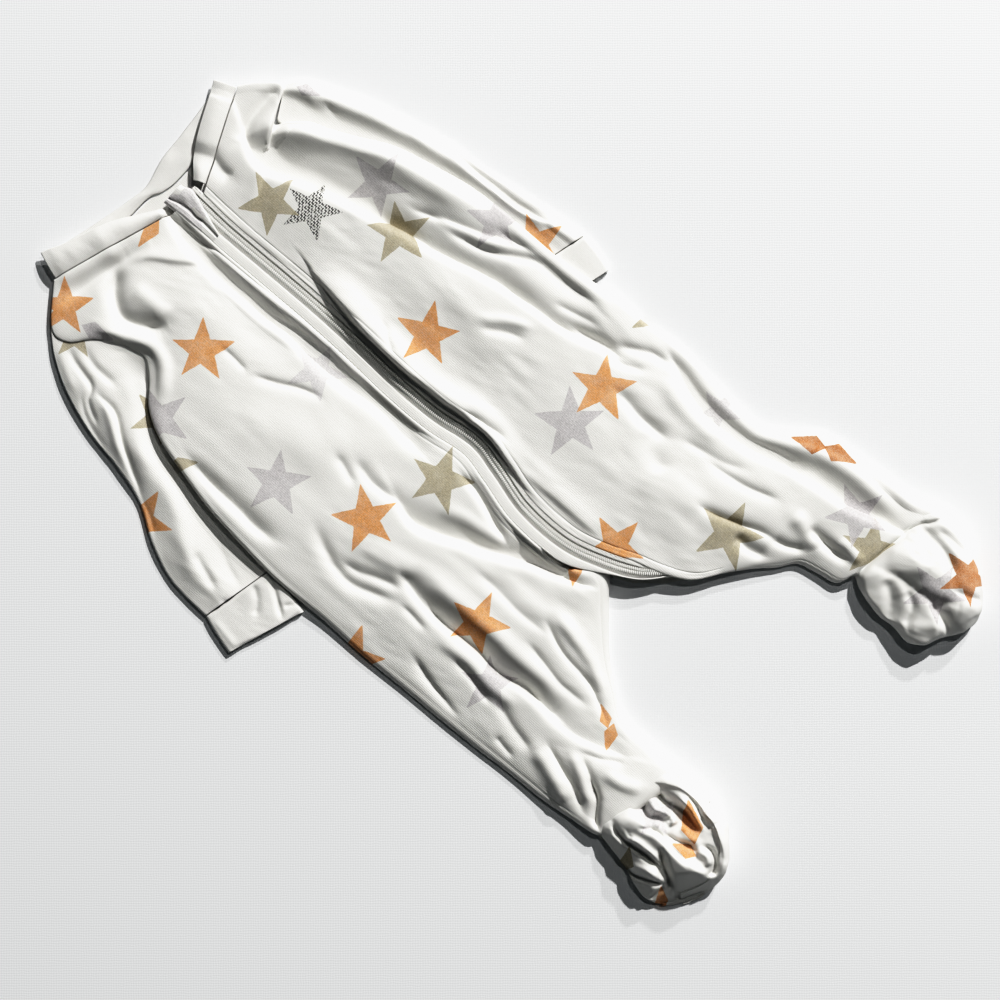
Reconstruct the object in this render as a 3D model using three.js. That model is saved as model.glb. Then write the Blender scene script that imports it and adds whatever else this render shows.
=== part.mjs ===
// A footed baby sleepsuit in cotton jersey, lying flat on its back with the zip up.
// Millimetres, +Z up, +Y towards the neck, +X towards the wearer's left.
import * as THREE from "three";

// Cloth and trim
const JERSEY = 1.4; // wall of the body cloth
const RIB = 1.8; // wall of neckband, cuffs and ankle band, which are cut double
const SEAM = 0.4; // space kept between two pieces at a seam
const FRONT_GRID = { across: 11, along: 46 };
const SWELL_SHAPE = 0.7; // power of the sine that a front's swell follows, so its top is broad
const EDGE_FADE = 6; // how steeply the folds begin at a front's two edges

// Zip, measured across from its centre line
const COIL_HALF = 2.0;
const COIL_THICK = 1.8;
const WELT_FROM = 2.4;
const WELT_TO = 6.4;
const TAPE_THICK = 0.9;
const PANEL_FROM = 7.3; // where a front panel begins
const ZIP_STEPS = 50;
const SLIDER = { from: 9, to: 18, half: 2.8, height: 2.4, steps: 4, nose: 0.7, crown: 0.5 };
const GUARD = { from: -9, to: 34, half: 6.3, flat: 3.5, steps: 12 };
const GUARD_SHARES = [-1, -0.8, -0.55, -0.28, 0, 0.28, 0.55, 0.8, 1]; // across the guard

// The zip's centre line from the neck, down the front and along the left inside leg
const ZIP = [
  { x: 0, y: 265, top: 6.0 },
  { x: -1, y: 234, top: 6.5 },
  { x: 0, y: 200, top: 7.0 },
  { x: 1, y: 165, top: 7.5 },
  { x: 1, y: 130, top: 8.0 },
  { x: 0, y: 95, top: 8.0 },
  { x: 1, y: 66, top: 8.0 },
  { x: 5, y: 38, top: 8.5 },
  { x: 1, y: 16, top: 9.0 },
  { x: -5, y: -10, top: 10.0 },
  { x: -5, y: -40, top: 11.0 },
  { x: 1, y: -63, top: 11.5 },
  { x: 13, y: -89, top: 12.0 },
  { x: 32, y: -109, top: 10.5 },
  { x: 50, y: -122, top: 8.5 },
];

// Sections of the right front, neck to ankle: side edge, its top, the swell between the
// edges, and where the section meets the zip, as a length down from the zip's top end
const RIGHT_BODY = [
  { x: -88, y: 289, top: 5.0, swell: 2.0, zip: 3 },
  { x: -110, y: 271, top: 5.0, swell: 3.0, zip: 15 },
  { x: -110, y: 259, top: 6.0, swell: 4.0, zip: 28 },
  { x: -99, y: 249, top: 7.0, swell: 4.5, zip: 38 },
  { x: -92, y: 239, top: 7.0, swell: 5.0, zip: 47 },
  { x: -87, y: 228, top: 7.5, swell: 5.0, zip: 58 },
  { x: -86, y: 217, top: 7.5, swell: 5.0, zip: 70 },
  { x: -94, y: 206, top: 7.8, swell: 5.0, zip: 82 },
  { x: -106, y: 195, top: 8.2, swell: 5.0, zip: 94 },
  { x: -115, y: 178, top: 8.5, swell: 4.5, zip: 108 },
  { x: -121, y: 154, top: 8.5, swell: 4.0, zip: 128 },
  { x: -126, y: 130, top: 8.5, swell: 4.0, zip: 149 },
  { x: -129, y: 100, top: 9.0, swell: 4.0, zip: 176 },
  { x: -131, y: 68, top: 8.0, swell: 4.0, zip: 206 },
  { x: -128, y: 34, top: 6.0, swell: 5.0, zip: 238 },
  { x: -128, y: 2, top: 5.0, swell: 5.0, zip: 266 },
  { x: -126, y: -30, top: 4.6, swell: 5.0, zip: 296 },
  { x: -125, y: -56, top: 4.6, swell: 5.5, zip: 322 },
];
// Below the crotch the sections end at the inside leg seam
const RIGHT_LEG = [
  { x: -124, y: -74, top: 4.6, swell: 6.0, inX: -13, inY: -74, inTop: 9.5 },
  { x: -123, y: -89, top: 4.6, swell: 7.0, inX: -23, inY: -89, inTop: 7.0 },
  { x: -122, y: -105, top: 4.6, swell: 7.0, inX: -37, inY: -105, inTop: 6.0 },
  { x: -121, y: -121, top: 5.0, swell: 7.0, inX: -49, inY: -122, inTop: 6.0 },
  { x: -120, y: -137, top: 6.0, swell: 7.0, inX: -60, inY: -139, inTop: 7.0 },
  { x: -118, y: -154, top: 7.0, swell: 6.0, inX: -61, inY: -160, inTop: 8.0 },
  { x: -116, y: -171, top: 9.0, swell: 4.0, inX: -61, inY: -182, inTop: 10.0 },
];

const LEFT_BODY = [
  { x: 70, y: 285, top: 5.0, swell: 2.0, zip: 7 },
  { x: 80, y: 277, top: 6.0, swell: 3.0, zip: 20 },
  { x: 88, y: 266, top: 6.0, swell: 4.0, zip: 31 },
  { x: 77, y: 260, top: 7.0, swell: 4.0, zip: 40 },
  { x: 67, y: 254, top: 8.0, swell: 4.0, zip: 49 },
  { x: 74, y: 247, top: 8.5, swell: 4.0, zip: 57 },
  { x: 81, y: 238, top: 8.5, swell: 4.0, zip: 66 },
  { x: 86, y: 226, top: 8.5, swell: 4.0, zip: 77 },
  { x: 94, y: 210, top: 8.5, swell: 4.5, zip: 90 },
  { x: 104, y: 191, top: 8.5, swell: 5.0, zip: 105 },
  { x: 111, y: 166, top: 8.5, swell: 5.0, zip: 125 },
  { x: 117, y: 138, top: 8.5, swell: 5.0, zip: 148 },
  { x: 119, y: 105, top: 8.5, swell: 4.0, zip: 174 },
  { x: 120, y: 72, top: 8.5, swell: 4.0, zip: 202 },
  { x: 124, y: 40, top: 8.0, swell: 4.0, zip: 230 },
  { x: 125, y: 10, top: 5.0, swell: 5.0, zip: 258 },
  { x: 128, y: -18, top: 4.6, swell: 5.0, zip: 285 },
  { x: 126, y: -45, top: 4.6, swell: 5.0, zip: 311 },
  { x: 125, y: -66, top: 4.6, swell: 5.0, zip: 333 },
  { x: 125, y: -84, top: 4.6, swell: 5.0, zip: 354 },
  { x: 135, y: -99, top: 4.6, swell: 5.0, zip: 376 },
  { x: 145, y: -111, top: 4.6, swell: 5.0, zip: 397 },
  { x: 148, y: -119, top: 4.8, swell: 5.5, zip: 410 },
];
const LEFT_LEG = [
  { x: 150, y: -129, top: 5.0, swell: 6.0, inX: 65, inY: -136, inTop: 7.0 },
  { x: 151, y: -140, top: 5.0, swell: 6.0, inX: 76, inY: -146, inTop: 5.6 },
  { x: 152, y: -152, top: 5.5, swell: 6.0, inX: 86, inY: -154, inTop: 5.6 },
  { x: 153, y: -166, top: 6.0, swell: 6.0, inX: 90, inY: -167, inTop: 6.0 },
  { x: 154, y: -181, top: 7.0, swell: 5.0, inX: 93, inY: -179, inTop: 7.0 },
  { x: 159, y: -198, top: 9.0, swell: 4.0, inX: 101, inY: -187, inTop: 9.0 },
];

// Largest folds of the two fronts: a line, its half width, and its rise (a trough is negative)
const FRONT_FOLDS = [
  { x0: 49, y0: 253, x1: 50, y1: 225, half: 9, rise: -3.0 },
  { x0: 50, y0: 225, x1: 58, y1: 187, half: 10, rise: -3.5 },
  { x0: 62, y0: 232, x1: 92, y1: 182, half: 13, rise: -2.0 },
  { x0: 74, y0: 150, x1: 88, y1: 96, half: 8, rise: -3.5 },
  { x0: 88, y0: 96, x1: 95, y1: 15, half: 9, rise: -3.0 },
  { x0: 106, y0: 110, x1: 110, y1: 20, half: 8, rise: 2.0 },
  { x0: 117, y0: -28, x1: 111, y1: -75, half: 6, rise: -3.0 },
  { x0: 111, y0: -75, x1: 124, y1: -129, half: 6.5, rise: -4.5 },
  { x0: 124, y0: -129, x1: 130, y1: -172, half: 6, rise: -4.0 },
  { x0: 100, y0: -62, x1: 100, y1: -120, half: 7, rise: 2.0 },
  { x0: 15, y0: 150, x1: 13, y1: 105, half: 7, rise: -2.0 },
  { x0: 17, y0: 100, x1: 20, y1: 40, half: 8, rise: -3.5 },
  { x0: 18, y0: 35, x1: 8, y1: -4, half: 7, rise: -3.0 },
  { x0: 40, y0: 150, x1: 45, y1: 20, half: 18, rise: 2.0 },
  { x0: 40, y0: -20, x1: 50, y1: -90, half: 16, rise: 2.5 },
  { x0: -15, y0: 228, x1: -20, y1: 160, half: 8, rise: -3.0 },
  { x0: -20, y0: 155, x1: -24, y1: 75, half: 9, rise: -3.0 },
  { x0: -40, y0: 215, x1: -48, y1: 90, half: 15, rise: 2.0 },
  { x0: -58, y0: 264, x1: -73, y1: 250, half: 7, rise: -2.0 },
  { x0: -73, y0: 250, x1: -70, y1: 222, half: 8, rise: -2.5 },
  { x0: -60, y0: 246, x1: -58, y1: 226, half: 9, rise: 1.5 },
  { x0: -80, y0: 160, x1: -90, y1: 60, half: 15, rise: 2.0 },
  { x0: -46, y0: 46, x1: -51, y1: 12, half: 8, rise: -2.5 },
  { x0: -51, y0: 12, x1: -42, y1: -27, half: 7, rise: -3.0 },
  { x0: -42, y0: -27, x1: -25, y1: -60, half: 7, rise: -2.5 },
  { x0: -30, y0: -8, x1: -22, y1: -40, half: 8, rise: 2.0 },
  { x0: -82, y0: -20, x1: -86, y1: -85, half: 7, rise: -4.5 },
  { x0: -86, y0: -85, x1: -76, y1: -130, half: 6.5, rise: -4.5 },
  { x0: -100, y0: -30, x1: -104, y1: -110, half: 8, rise: 2.5 },
  { x0: -66, y0: -45, x1: -62, y1: -110, half: 8, rise: 2.5 },
  { x0: -110, y0: -89, x1: -119, y1: -114, half: 4, rise: -2.0 },
  { x0: -50, y0: -80, x1: -62, y1: -130, half: 4, rise: -2.0 },
  { x0: -100, y0: -132, x1: -108, y1: -163, half: 5, rise: -2.5 },
];
const LEAST_CLEAR = 0.4; // least height of a front's underside over the back panel
const SOFT_STOP = 1.4; // how gently a trough comes down to that height

// Sleeves: sections from armhole to cuff, outer fold to inner fold, and the height of the
// raised roll along the part that the body doesn't cover; bend follows the armhole's curve
const SLEEVE_RIGHT = [
  { x: -112, y: 272, inX: -107, inY: 195, bend: 1.0, roll: 3.0 },
  { x: -123, y: 259, inX: -111, inY: 183, bend: 0.7, roll: 4.5 },
  { x: -134, y: 239, inX: -113, inY: 170, bend: 0.35, roll: 5.5 },
  { x: -143, y: 212, inX: -113, inY: 156, bend: 0.1, roll: 5.5 },
  { x: -149, y: 186, inX: -114, inY: 144, bend: 0, roll: 5.0 },
  { x: -154, y: 163, inX: -117, inY: 130, bend: 0, roll: 5.0 },
  { x: -167, y: 141, inX: -122, inY: 116, bend: 0, roll: 5.5 },
  { x: -176, y: 117, inX: -128, inY: 98, bend: 0, roll: 5.0 },
  { x: -178, y: 88, inX: -132, inY: 78, bend: 0, roll: 3.5 },
];
const SLEEVE_LEFT = [
  { x: 90.6, y: 265.9, inX: 70, inY: 254, bend: 0, roll: 1.5 },
  { x: 99, y: 259, inX: 66, inY: 238, bend: 0, roll: 4.0 },
  { x: 105, y: 247, inX: 68, inY: 222, bend: 0, roll: 4.5 },
  { x: 112, y: 231, inX: 74, inY: 206, bend: 0, roll: 5.0 },
  { x: 121, y: 204, inX: 82, inY: 186, bend: 0, roll: 5.0 },
  { x: 129, y: 172, inX: 89, inY: 160, bend: 0, roll: 5.0 },
  { x: 133, y: 140, inX: 94, inY: 134, bend: 0, roll: 5.0 },
  { x: 138, y: 106, inX: 98, inY: 104, bend: 0, roll: 4.5 },
  { x: 143, y: 72, inX: 98, inY: 84, bend: 0, roll: 3.0 },
];
const SLEEVE_TOP = 3.7; // the sleeve's height where it lies flat
const LEAST_GAP = 0.3; // between the two walls inside a flat tube
const SLEEVE_RINGS = 13;
const TUBE_ACROSS = { sleeve: 9, cuff: 10 };
const CUFF_SWELL = 0.8;
const ROLL_AT = { right: 0.34, left: 0.17 };
const ROLL_HALF = { right: 0.26, left: 0.12 };
const ARMHOLE_ROWS = { first: 1, last: 8 }; // sections of the right front along its armhole
const SLEEVE_FOLDS = [
  { x0: -112, y0: 257, x1: -131, y1: 214, half: 4.5, rise: -2.5 },
  { x0: -107, y0: 234, x1: -119, y1: 206, half: 4, rise: -2.0 },
  { x0: -120, y0: 217, x1: -132, y1: 184, half: 4, rise: -2.0 },
  { x0: -150, y0: 150, x1: -160, y1: 115, half: 5, rise: -2.0 },
  { x0: -128, y0: 118, x1: -148, y1: 87, half: 5, rise: -2.0 },
  { x0: 129, y0: 155, x1: 131, y1: 112, half: 4, rise: -2.0 },
];

// Cuffs: seam end and open end
const CUFF_RIGHT = [
  { x: -178.1, y: 87.5, inX: -132.1, inY: 77.5 },
  { x: -182, y: 75, inX: -134, inY: 61 },
  { x: -185, y: 63, inX: -136.5, inY: 46 },
];
const CUFF_LEFT = [
  { x: 143, y: 71.5, inX: 98, inY: 83.5 },
  { x: 141, y: 59, inX: 96, inY: 71 },
  { x: 138, y: 47, inX: 93.5, inY: 59 },
];
const CUFF_TOP = 4.6;

// Neckband: width of the band along the neck seam, from shoulder to zip
const BAND_RIGHT = [17, 14.5, 13.5, 12, 8, 4];
const BAND_LEFT = [13.5, 13, 13, 12.5, 11, 7];
const BAND_ROLL = 1.6; // how far the band's middle stands over its edges
const BAND_GRID = { across: 5, along: 14 };
const BAND_END = 0.92; // where the band ends at the zip, as a share of the neck seam

// Outlines of the pieces that lie flat on the ground
const BACK_OUTLINE = [
  [-88, 288], [-109, 271], [-109, 259], [-98, 249.5], [-91, 239], [-86, 228], [-85, 217],
  [-93, 205], [-104.5, 195], [-109, 183], [-111, 170], [-111, 156], [-112, 144], [-115, 130],
  [-120, 116], [-126, 98], [-130, 78], [-132, 61], [-133.5, 42], [-132, 20], [-132, -10],
  [-130, -45], [-128, -80], [-126, -110], [-124, -140], [-120, -170], [-61, -181],
  [-61, -160], [-62, -139], [-50, -123], [-41, -111], [-34, -100], [-24, -90], [-11, -81],
  [0, -75], [8, -90], [20, -104], [33, -114], [48, -125], [60, -133], [75, -146],
  [87, -155], [91, -167], [94, -179], [102, -186], [159, -197], [153, -180], [152, -152],
  [150, -130], [144, -111], [134, -99], [124, -85], [124, -66], [125, -45], [127, -18],
  [124, 10], [122.5, 40], [121.5, 49], [92, 56.5], [92, 60], [96.3, 84], [96.3, 104],
  [92.3, 134], [87.3, 160], [80.3, 186], [72.3, 206], [66.3, 222], [64.3, 238],
  [68.2, 255], [87, 266], [79, 276], [70, 284], [61, 284], [50, 279], [26, 275], [6, 274],
  [-6, 276], [-15, 280], [-34, 281], [-60, 284], [-72, 287],
];
const BACK_BAND_OUTLINE = [
  [-71, 301], [-60, 298], [-41, 293], [-24, 289], [-10, 287], [8, 291], [25, 292], [48, 294],
  [59, 296], [61, 285], [50, 280], [26, 276], [6, 275], [-6, 277], [-15, 281], [-34, 282],
  [-60, 285], [-71, 288],
];

// Feet: outline on the ground round a centre, and one section from ground to middle, whose
// reach is a share of the outline's and whose height is over the ground
const FOOT_LEFT = {
  centre: [127, -222],
  outline: [
    [158, -198.7], [161, -203], [161, -216], [154, -230], [149, -240], [138, -252], [129, -256],
    [118, -255], [107, -248], [96, -242], [92, -233], [93, -222], [92, -211], [95, -200],
    [99, -191], [103, -188.1], [120, -191.2], [140, -195.0],
  ],
  section: [
    [1.0, 1.8], [1.0, 7], [0.96, 13], [0.86, 19], [0.7, 23.5], [0.48, 25.5], [0.24, 26],
  ],
  middle: 26,
};
const FOOT_RIGHT = {
  centre: [-95, -209],
  outline: [
    [-115, -172.2], [-98, -175.6], [-80, -179.2], [-64, -182.4], [-61, -186], [-60, -200],
    [-60, -218], [-66, -230], [-78, -241], [-94, -245], [-110, -241], [-122, -232], [-127, -219],
    [-122, -203], [-119, -187], [-118, -175],
  ],
  section: [
    [1.0, 1.8], [1.0, 8], [0.98, 15], [0.92, 20.5], [0.82, 22.5], [0.7, 20], [0.58, 15.5],
    [0.42, 15], [0.22, 18],
  ],
  middle: 17,
};
const FOOT_FOLDS = [
  { x0: 116, y0: -235, x1: 112, y1: -252, half: 3.5, rise: -3.0 },
  { x0: 108, y0: -202, x1: 95, y1: -214, half: 4, rise: -4.0 },
  { x0: 138, y0: -195, x1: 140, y1: -216, half: 5, rise: -3.0 },
  { x0: 148, y0: -236, x1: 130, y1: -250, half: 5, rise: 2.0 },
  { x0: -100, y0: -196, x1: -90, y1: -222, half: 4, rise: 3.5 },
  { x0: -84, y0: -200, x1: -78, y1: -222, half: 3.5, rise: 3.0 },
  { x0: -92, y0: -192, x1: -84, y1: -214, half: 3, rise: -3.0 },
  { x0: -110, y0: -180, x1: -118, y1: -190, half: 4, rise: -3.0 },
];
const FOOT_SIDES = 24;
const SOLE_REACH = 0.94;
const BAND_CLEAR = 0.6; // space between the foot and its turned-back band
const TURN_STEPS = 360; // places tried round an outline to find a direction
// The right foot's turned-back ankle band, over the foot's rim from the inside leg round
const ANKLE_BAND = { from: -25, to: 196, firstRing: 1, lastRing: 4, sides: 22 };

// Materials
const jersey = new THREE.MeshStandardMaterial({ color: 0xf4f3ee, roughness: 0.9 });
const ribCloth = new THREE.MeshStandardMaterial({ color: 0xf2f1ec, roughness: 0.92 });
const tapeCloth = new THREE.MeshStandardMaterial({ color: 0xefeeea, roughness: 0.85 });
const coilPlastic = new THREE.MeshStandardMaterial({ color: 0xe9e8e2, roughness: 0.45 });
const sliderPaint = new THREE.MeshStandardMaterial({ color: 0xe6e5e0, roughness: 0.4, metalness: 0.2 });

// Smooth value between table rows at a row number that need not be whole
function between(values, at) {
  const last = values.length - 1;
  const i = Math.min(Math.floor(at), last - 1);
  const f = at - i;
  const p = (k) => values[Math.max(0, Math.min(last, k))];
  const slope0 = (p(i + 1) - p(i - 1)) / 2;
  const slope1 = (p(i + 2) - p(i)) / 2;
  const rise = p(i + 1) - p(i);
  return p(i) + f * (slope0 + f * (3 * rise - 2 * slope0 - slope1 + f * (slope0 + slope1 - 2 * rise)));
}

// Height that a table of folds adds at a point
function foldHeight(folds, x, y) {
  let sum = 0;
  for (const fold of folds) {
    const dx = fold.x1 - fold.x0;
    const dy = fold.y1 - fold.y0;
    const t = ((x - fold.x0) * dx + (y - fold.y0) * dy) / (dx * dx + dy * dy);
    const near = Math.max(0, Math.min(1, t));
    const away = Math.hypot(x - fold.x0 - near * dx, y - fold.y0 - near * dy) / fold.half;
    sum += fold.rise * Math.exp(-away * away);
  }
  return sum;
}

// One closed solid from points and triangles, with its faces turned outward
function solidFrom(points, faces) {
  const geometry = new THREE.BufferGeometry();
  const flat = points.flatMap((p) => [p.x, p.y, p.z]);
  geometry.setAttribute("position", new THREE.Float32BufferAttribute(flat, 3));
  let volume = 0;
  for (const [a, b, c] of faces) {
    volume += points[a].dot(new THREE.Vector3().crossVectors(points[b], points[c]));
  }
  const outward = volume > 0 ? faces : faces.map(([a, b, c]) => [a, c, b]);
  geometry.setIndex(outward.flat());
  geometry.computeVertexNormals();
  return geometry;
}

// Two grids of points, the upper and the lower face of a sheet, closed by a rim
function sheet(upper, lower) {
  const rows = upper.length;
  const columns = upper[0].length;
  const points = [...upper.flat(), ...lower.flat()];
  const up = (r, c) => r * columns + c;
  const low = (r, c) => rows * columns + r * columns + c;
  const faces = [];
  const quad = (a, b, c, d) => faces.push([a, b, c], [a, c, d]);
  for (let r = 0; r < rows - 1; r++) {
    for (let c = 0; c < columns - 1; c++) {
      quad(up(r, c), up(r + 1, c), up(r + 1, c + 1), up(r, c + 1));
      quad(low(r, c), low(r, c + 1), low(r + 1, c + 1), low(r + 1, c));
    }
    quad(up(r, 0), low(r, 0), low(r + 1, 0), up(r + 1, 0));
    const c = columns - 1;
    quad(up(r, c), up(r + 1, c), low(r + 1, c), low(r, c));
  }
  for (let c = 0; c < columns - 1; c++) {
    const r = rows - 1;
    quad(up(0, c), up(0, c + 1), low(0, c + 1), low(0, c));
    quad(up(r, c), low(r, c), low(r, c + 1), up(r, c + 1));
  }
  return solidFrom(points, faces);
}

// Rings of an outer and an inner skin, each ring a closed loop. A tube is open at both ends;
// a dome's last ring is closed by a middle point.
function hollow(outer, inner, middles) {
  const rings = outer.length;
  const sides = outer[0].length;
  const points = [...outer.flat(), ...inner.flat()];
  const out = (r, k) => r * sides + (k % sides);
  const into = (r, k) => rings * sides + r * sides + (k % sides);
  const faces = [];
  const quad = (a, b, c, d) => faces.push([a, b, c], [a, c, d]);
  for (let k = 0; k < sides; k++) {
    for (let r = 0; r < rings - 1; r++) {
      quad(out(r, k), out(r, k + 1), out(r + 1, k + 1), out(r + 1, k));
      quad(into(r, k), into(r + 1, k), into(r + 1, k + 1), into(r, k + 1));
    }
    quad(out(0, k), into(0, k), into(0, k + 1), out(0, k + 1));
    const end = rings - 1;
    if (middles) {
      faces.push([out(end, k), out(end, k + 1), points.length]);
      faces.push([into(end, k), points.length + 1, into(end, k + 1)]);
    } else {
      quad(out(end, k), out(end, k + 1), into(end, k + 1), into(end, k));
    }
  }
  return solidFrom(middles ? [...points, ...middles] : points, faces);
}

// A flat piece from its outline, lying on the ground
function flatPiece(outline, thick) {
  const shape = new THREE.Shape(outline.map(([x, y]) => new THREE.Vector2(x, y)));
  return new THREE.ExtrudeGeometry(shape, { depth: thick, bevelEnabled: false });
}

// The zip's frame: a point at a length down the zip and a distance across it
const zipPoints = ZIP.map((p) => new THREE.Vector3(p.x, p.y, p.top));
const zipCurve = new THREE.CatmullRomCurve3(zipPoints, false, "centripetal");
const ZIP_LENGTH = zipCurve.getLength();
function zipPoint(along, across, rise) {
  const u = Math.max(0, Math.min(1, along / ZIP_LENGTH));
  const tangent = zipCurve.getTangentAt(u);
  const flat = Math.hypot(tangent.x, tangent.y);
  const beyond = along - u * ZIP_LENGTH;
  const p = zipCurve.getPointAt(u);
  p.x += (-tangent.y * across + tangent.x * beyond) / flat;
  p.y += (tangent.x * across + tangent.y * beyond) / flat;
  p.z += rise;
  return p;
}

// A front panel's upper face: row number down the panel, share across from side to inner edge
function frontFace(body, leg, side) {
  const inner = [
    ...body.map((row) => zipPoint(row.zip, side * PANEL_FROM, 0)),
    ...leg.map((row) => new THREE.Vector3(row.inX, row.inY, row.inTop)),
  ];
  const rows = [...body, ...leg];
  const column = (name) => rows.map((row) => row[name]);
  const zips = body.map((row) => row.zip);
  return {
    rows: rows.length,
    at(row, share) {
      const edge = new THREE.Vector3(
        between(column("x"), row),
        between(column("y"), row),
        between(column("top"), row),
      );
      const onZip = row <= body.length - 1;
      const inside = onZip
        ? zipPoint(between(zips, row), side * PANEL_FROM, 0)
        : new THREE.Vector3(
            between(inner.map((p) => p.x), row),
            between(inner.map((p) => p.y), row),
            between(inner.map((p) => p.z), row),
          );
      const p = edge.lerp(inside, share);
      const inward = Math.sin(Math.PI * share);
      const fade = Math.min(1, EDGE_FADE * share * (1 - share));
      const swell = between(column("swell"), row) * inward ** SWELL_SHAPE;
      p.z += swell + fade * foldHeight(FRONT_FOLDS, p.x, p.y);
      const spare = p.z - 2 * JERSEY - LEAST_CLEAR;
      p.z += 0.5 * (Math.hypot(spare, SOFT_STOP) - spare);
      return p;
    },
  };
}

function frontPanel(face) {
  const upper = [];
  for (let r = 0; r <= FRONT_GRID.along; r++) {
    const row = (r / FRONT_GRID.along) * (face.rows - 1);
    upper.push([]);
    for (let c = 0; c <= FRONT_GRID.across; c++) {
      upper[r].push(face.at(row, c / FRONT_GRID.across));
    }
  }
  return sheet(upper, lowered(upper, JERSEY));
}

function lowered(grid, by) {
  return grid.map((row) => row.map((p) => new THREE.Vector3(p.x, p.y, p.z - by)));
}

// A strip along the zip between two distances across it
function zipStrip(from, to, top, thick, start, end) {
  const upper = [];
  for (let i = 0; i <= ZIP_STEPS; i++) {
    const along = start + ((end - start) * i) / ZIP_STEPS;
    upper.push([zipPoint(along, from, top), zipPoint(along, to, top)]);
  }
  return sheet(upper, lowered(upper, thick));
}

// The cloth guard over the zip's top end, flat over the slider and turned down at its sides
function guardPiece() {
  const upper = [];
  for (let i = 0; i <= GUARD.steps; i++) {
    const along = GUARD.from + ((GUARD.to - GUARD.from) * i) / GUARD.steps;
    upper.push(
      GUARD_SHARES.map((share) => {
        const turned = Math.max(0, (Math.abs(share) * GUARD.half - GUARD.flat) / (GUARD.half - GUARD.flat));
        const rise = SEAM + (SLIDER.height + SEAM) * (1 - turned * turned) + JERSEY;
        return zipPoint(along, share * GUARD.half, rise);
      }),
    );
  }
  return sheet(upper, lowered(upper, JERSEY));
}

// The slider's body: two wings joined at the nose, seen as one wedge on the coil
function sliderPiece() {
  const { from, to, half, height, steps, nose, crown } = SLIDER;
  const upper = [];
  for (let i = 0; i <= steps; i++) {
    const along = from + ((to - from) * i) / steps;
    const reach = half * (nose + (1 - nose) * Math.sin((Math.PI * i) / steps));
    upper.push([-1, -0.5, 0, 0.5, 1].map((k) => zipPoint(along, k * reach, SEAM + height - crown * k * k)));
  }
  return sheet(upper, lowered(upper, height - crown));
}

// Sleeve and cuff: a flat tube whose sections are laid from outer to inner fold
function sectionLoop(place, top, across, wall) {
  const turn = wall / 2;
  const width = place(0).distanceTo(place(1));
  const loop = (inset, floor, roof) => {
    const points = [];
    const at = (share, z) => {
      const p = place(share);
      points.push(new THREE.Vector3(p.x, p.y, z(share)));
    };
    const s0 = inset / width;
    const cut = turn / width;
    const share = (k) => s0 + cut + (1 - 2 * (s0 + cut)) * (k / across);
    for (let k = 0; k <= across; k++) at(share(k), floor);
    at(1 - s0, (s) => (floor(s) + roof(s)) / 2);
    for (let k = across; k >= 0; k--) at(share(k), roof);
    at(s0, (s) => (floor(s) + roof(s)) / 2);
    return points;
  };
  return {
    outer: loop(0, () => 0, top),
    inner: loop(wall, () => wall, (s) => Math.max(top(s) - wall, wall + LEAST_GAP)),
  };
}

function flatTube(sections, across, wall) {
  const loops = sections.map(({ place, top }) => sectionLoop(place, top, across, wall));
  return hollow(loops.map((l) => l.outer), loops.map((l) => l.inner));
}

function sleeveSections(table, side, armhole) {
  const rings = SLEEVE_RINGS;
  const column = (name, at) => between(table.map((row) => row[name]), at);
  const sections = [];
  for (let i = 0; i <= rings; i++) {
    const at = (i / rings) * (table.length - 1);
    const start = new THREE.Vector3(column("x", at), column("y", at), 0);
    const end = new THREE.Vector3(column("inX", at), column("inY", at), 0);
    const place = (share) => {
      const p = start.clone().lerp(end, share);
      if (armhole) p.addScaledVector(armhole(share), column("bend", at));
      return p;
    };
    const top = (share) => {
      const p = place(share);
      const away = (share - ROLL_AT[side]) / ROLL_HALF[side];
      const roll = column("roll", at) * Math.exp(-away * away);
      const folds = foldHeight(SLEEVE_FOLDS, p.x, p.y) * Math.exp(-away * away);
      return Math.max(SLEEVE_TOP + roll + folds, SLEEVE_TOP);
    };
    sections.push({ place, top });
  }
  return sections;
}

// How far the right armhole's seam bends away from its straight chord, at a share along it
function armholeBend(face) {
  const { first, last } = ARMHOLE_ROWS;
  const seam = (share) => face.at(first + (last - first) * share, 0).setZ(0);
  const start = seam(0);
  const end = seam(1);
  return (share) => seam(share).sub(start.clone().lerp(end, share));
}

function cuffSections(table) {
  return table.map((row) => ({
    place: (share) => new THREE.Vector3(row.x, row.y, 0).lerp(new THREE.Vector3(row.inX, row.inY, 0), share),
    top: (share) => CUFF_TOP + CUFF_SWELL * Math.sin(Math.PI * share),
  }));
}

// A neckband stretch, set along the front's first section
function neckband(face, widths) {
  const { along, across } = BAND_GRID;
  const start = face.at(0, 0);
  const away = face.at(0, 1).sub(start).setZ(0).normalize();
  const out = new THREE.Vector3(-away.y, away.x, 0);
  if (out.y < 0) out.negate();
  const upper = [];
  for (let i = 0; i <= along; i++) {
    const share = (i / along) * BAND_END;
    const width = between(widths, (i / along) * (widths.length - 1));
    upper.push([]);
    for (let k = 0; k <= across; k++) {
      const p = face.at(0, share).addScaledVector(out, 2 * SEAM + (width * k) / across);
      p.z += BAND_ROLL * Math.sin((Math.PI * k) / across);
      upper[i].push(p);
    }
  }
  return sheet(upper, lowered(upper, RIB));
}

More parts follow.
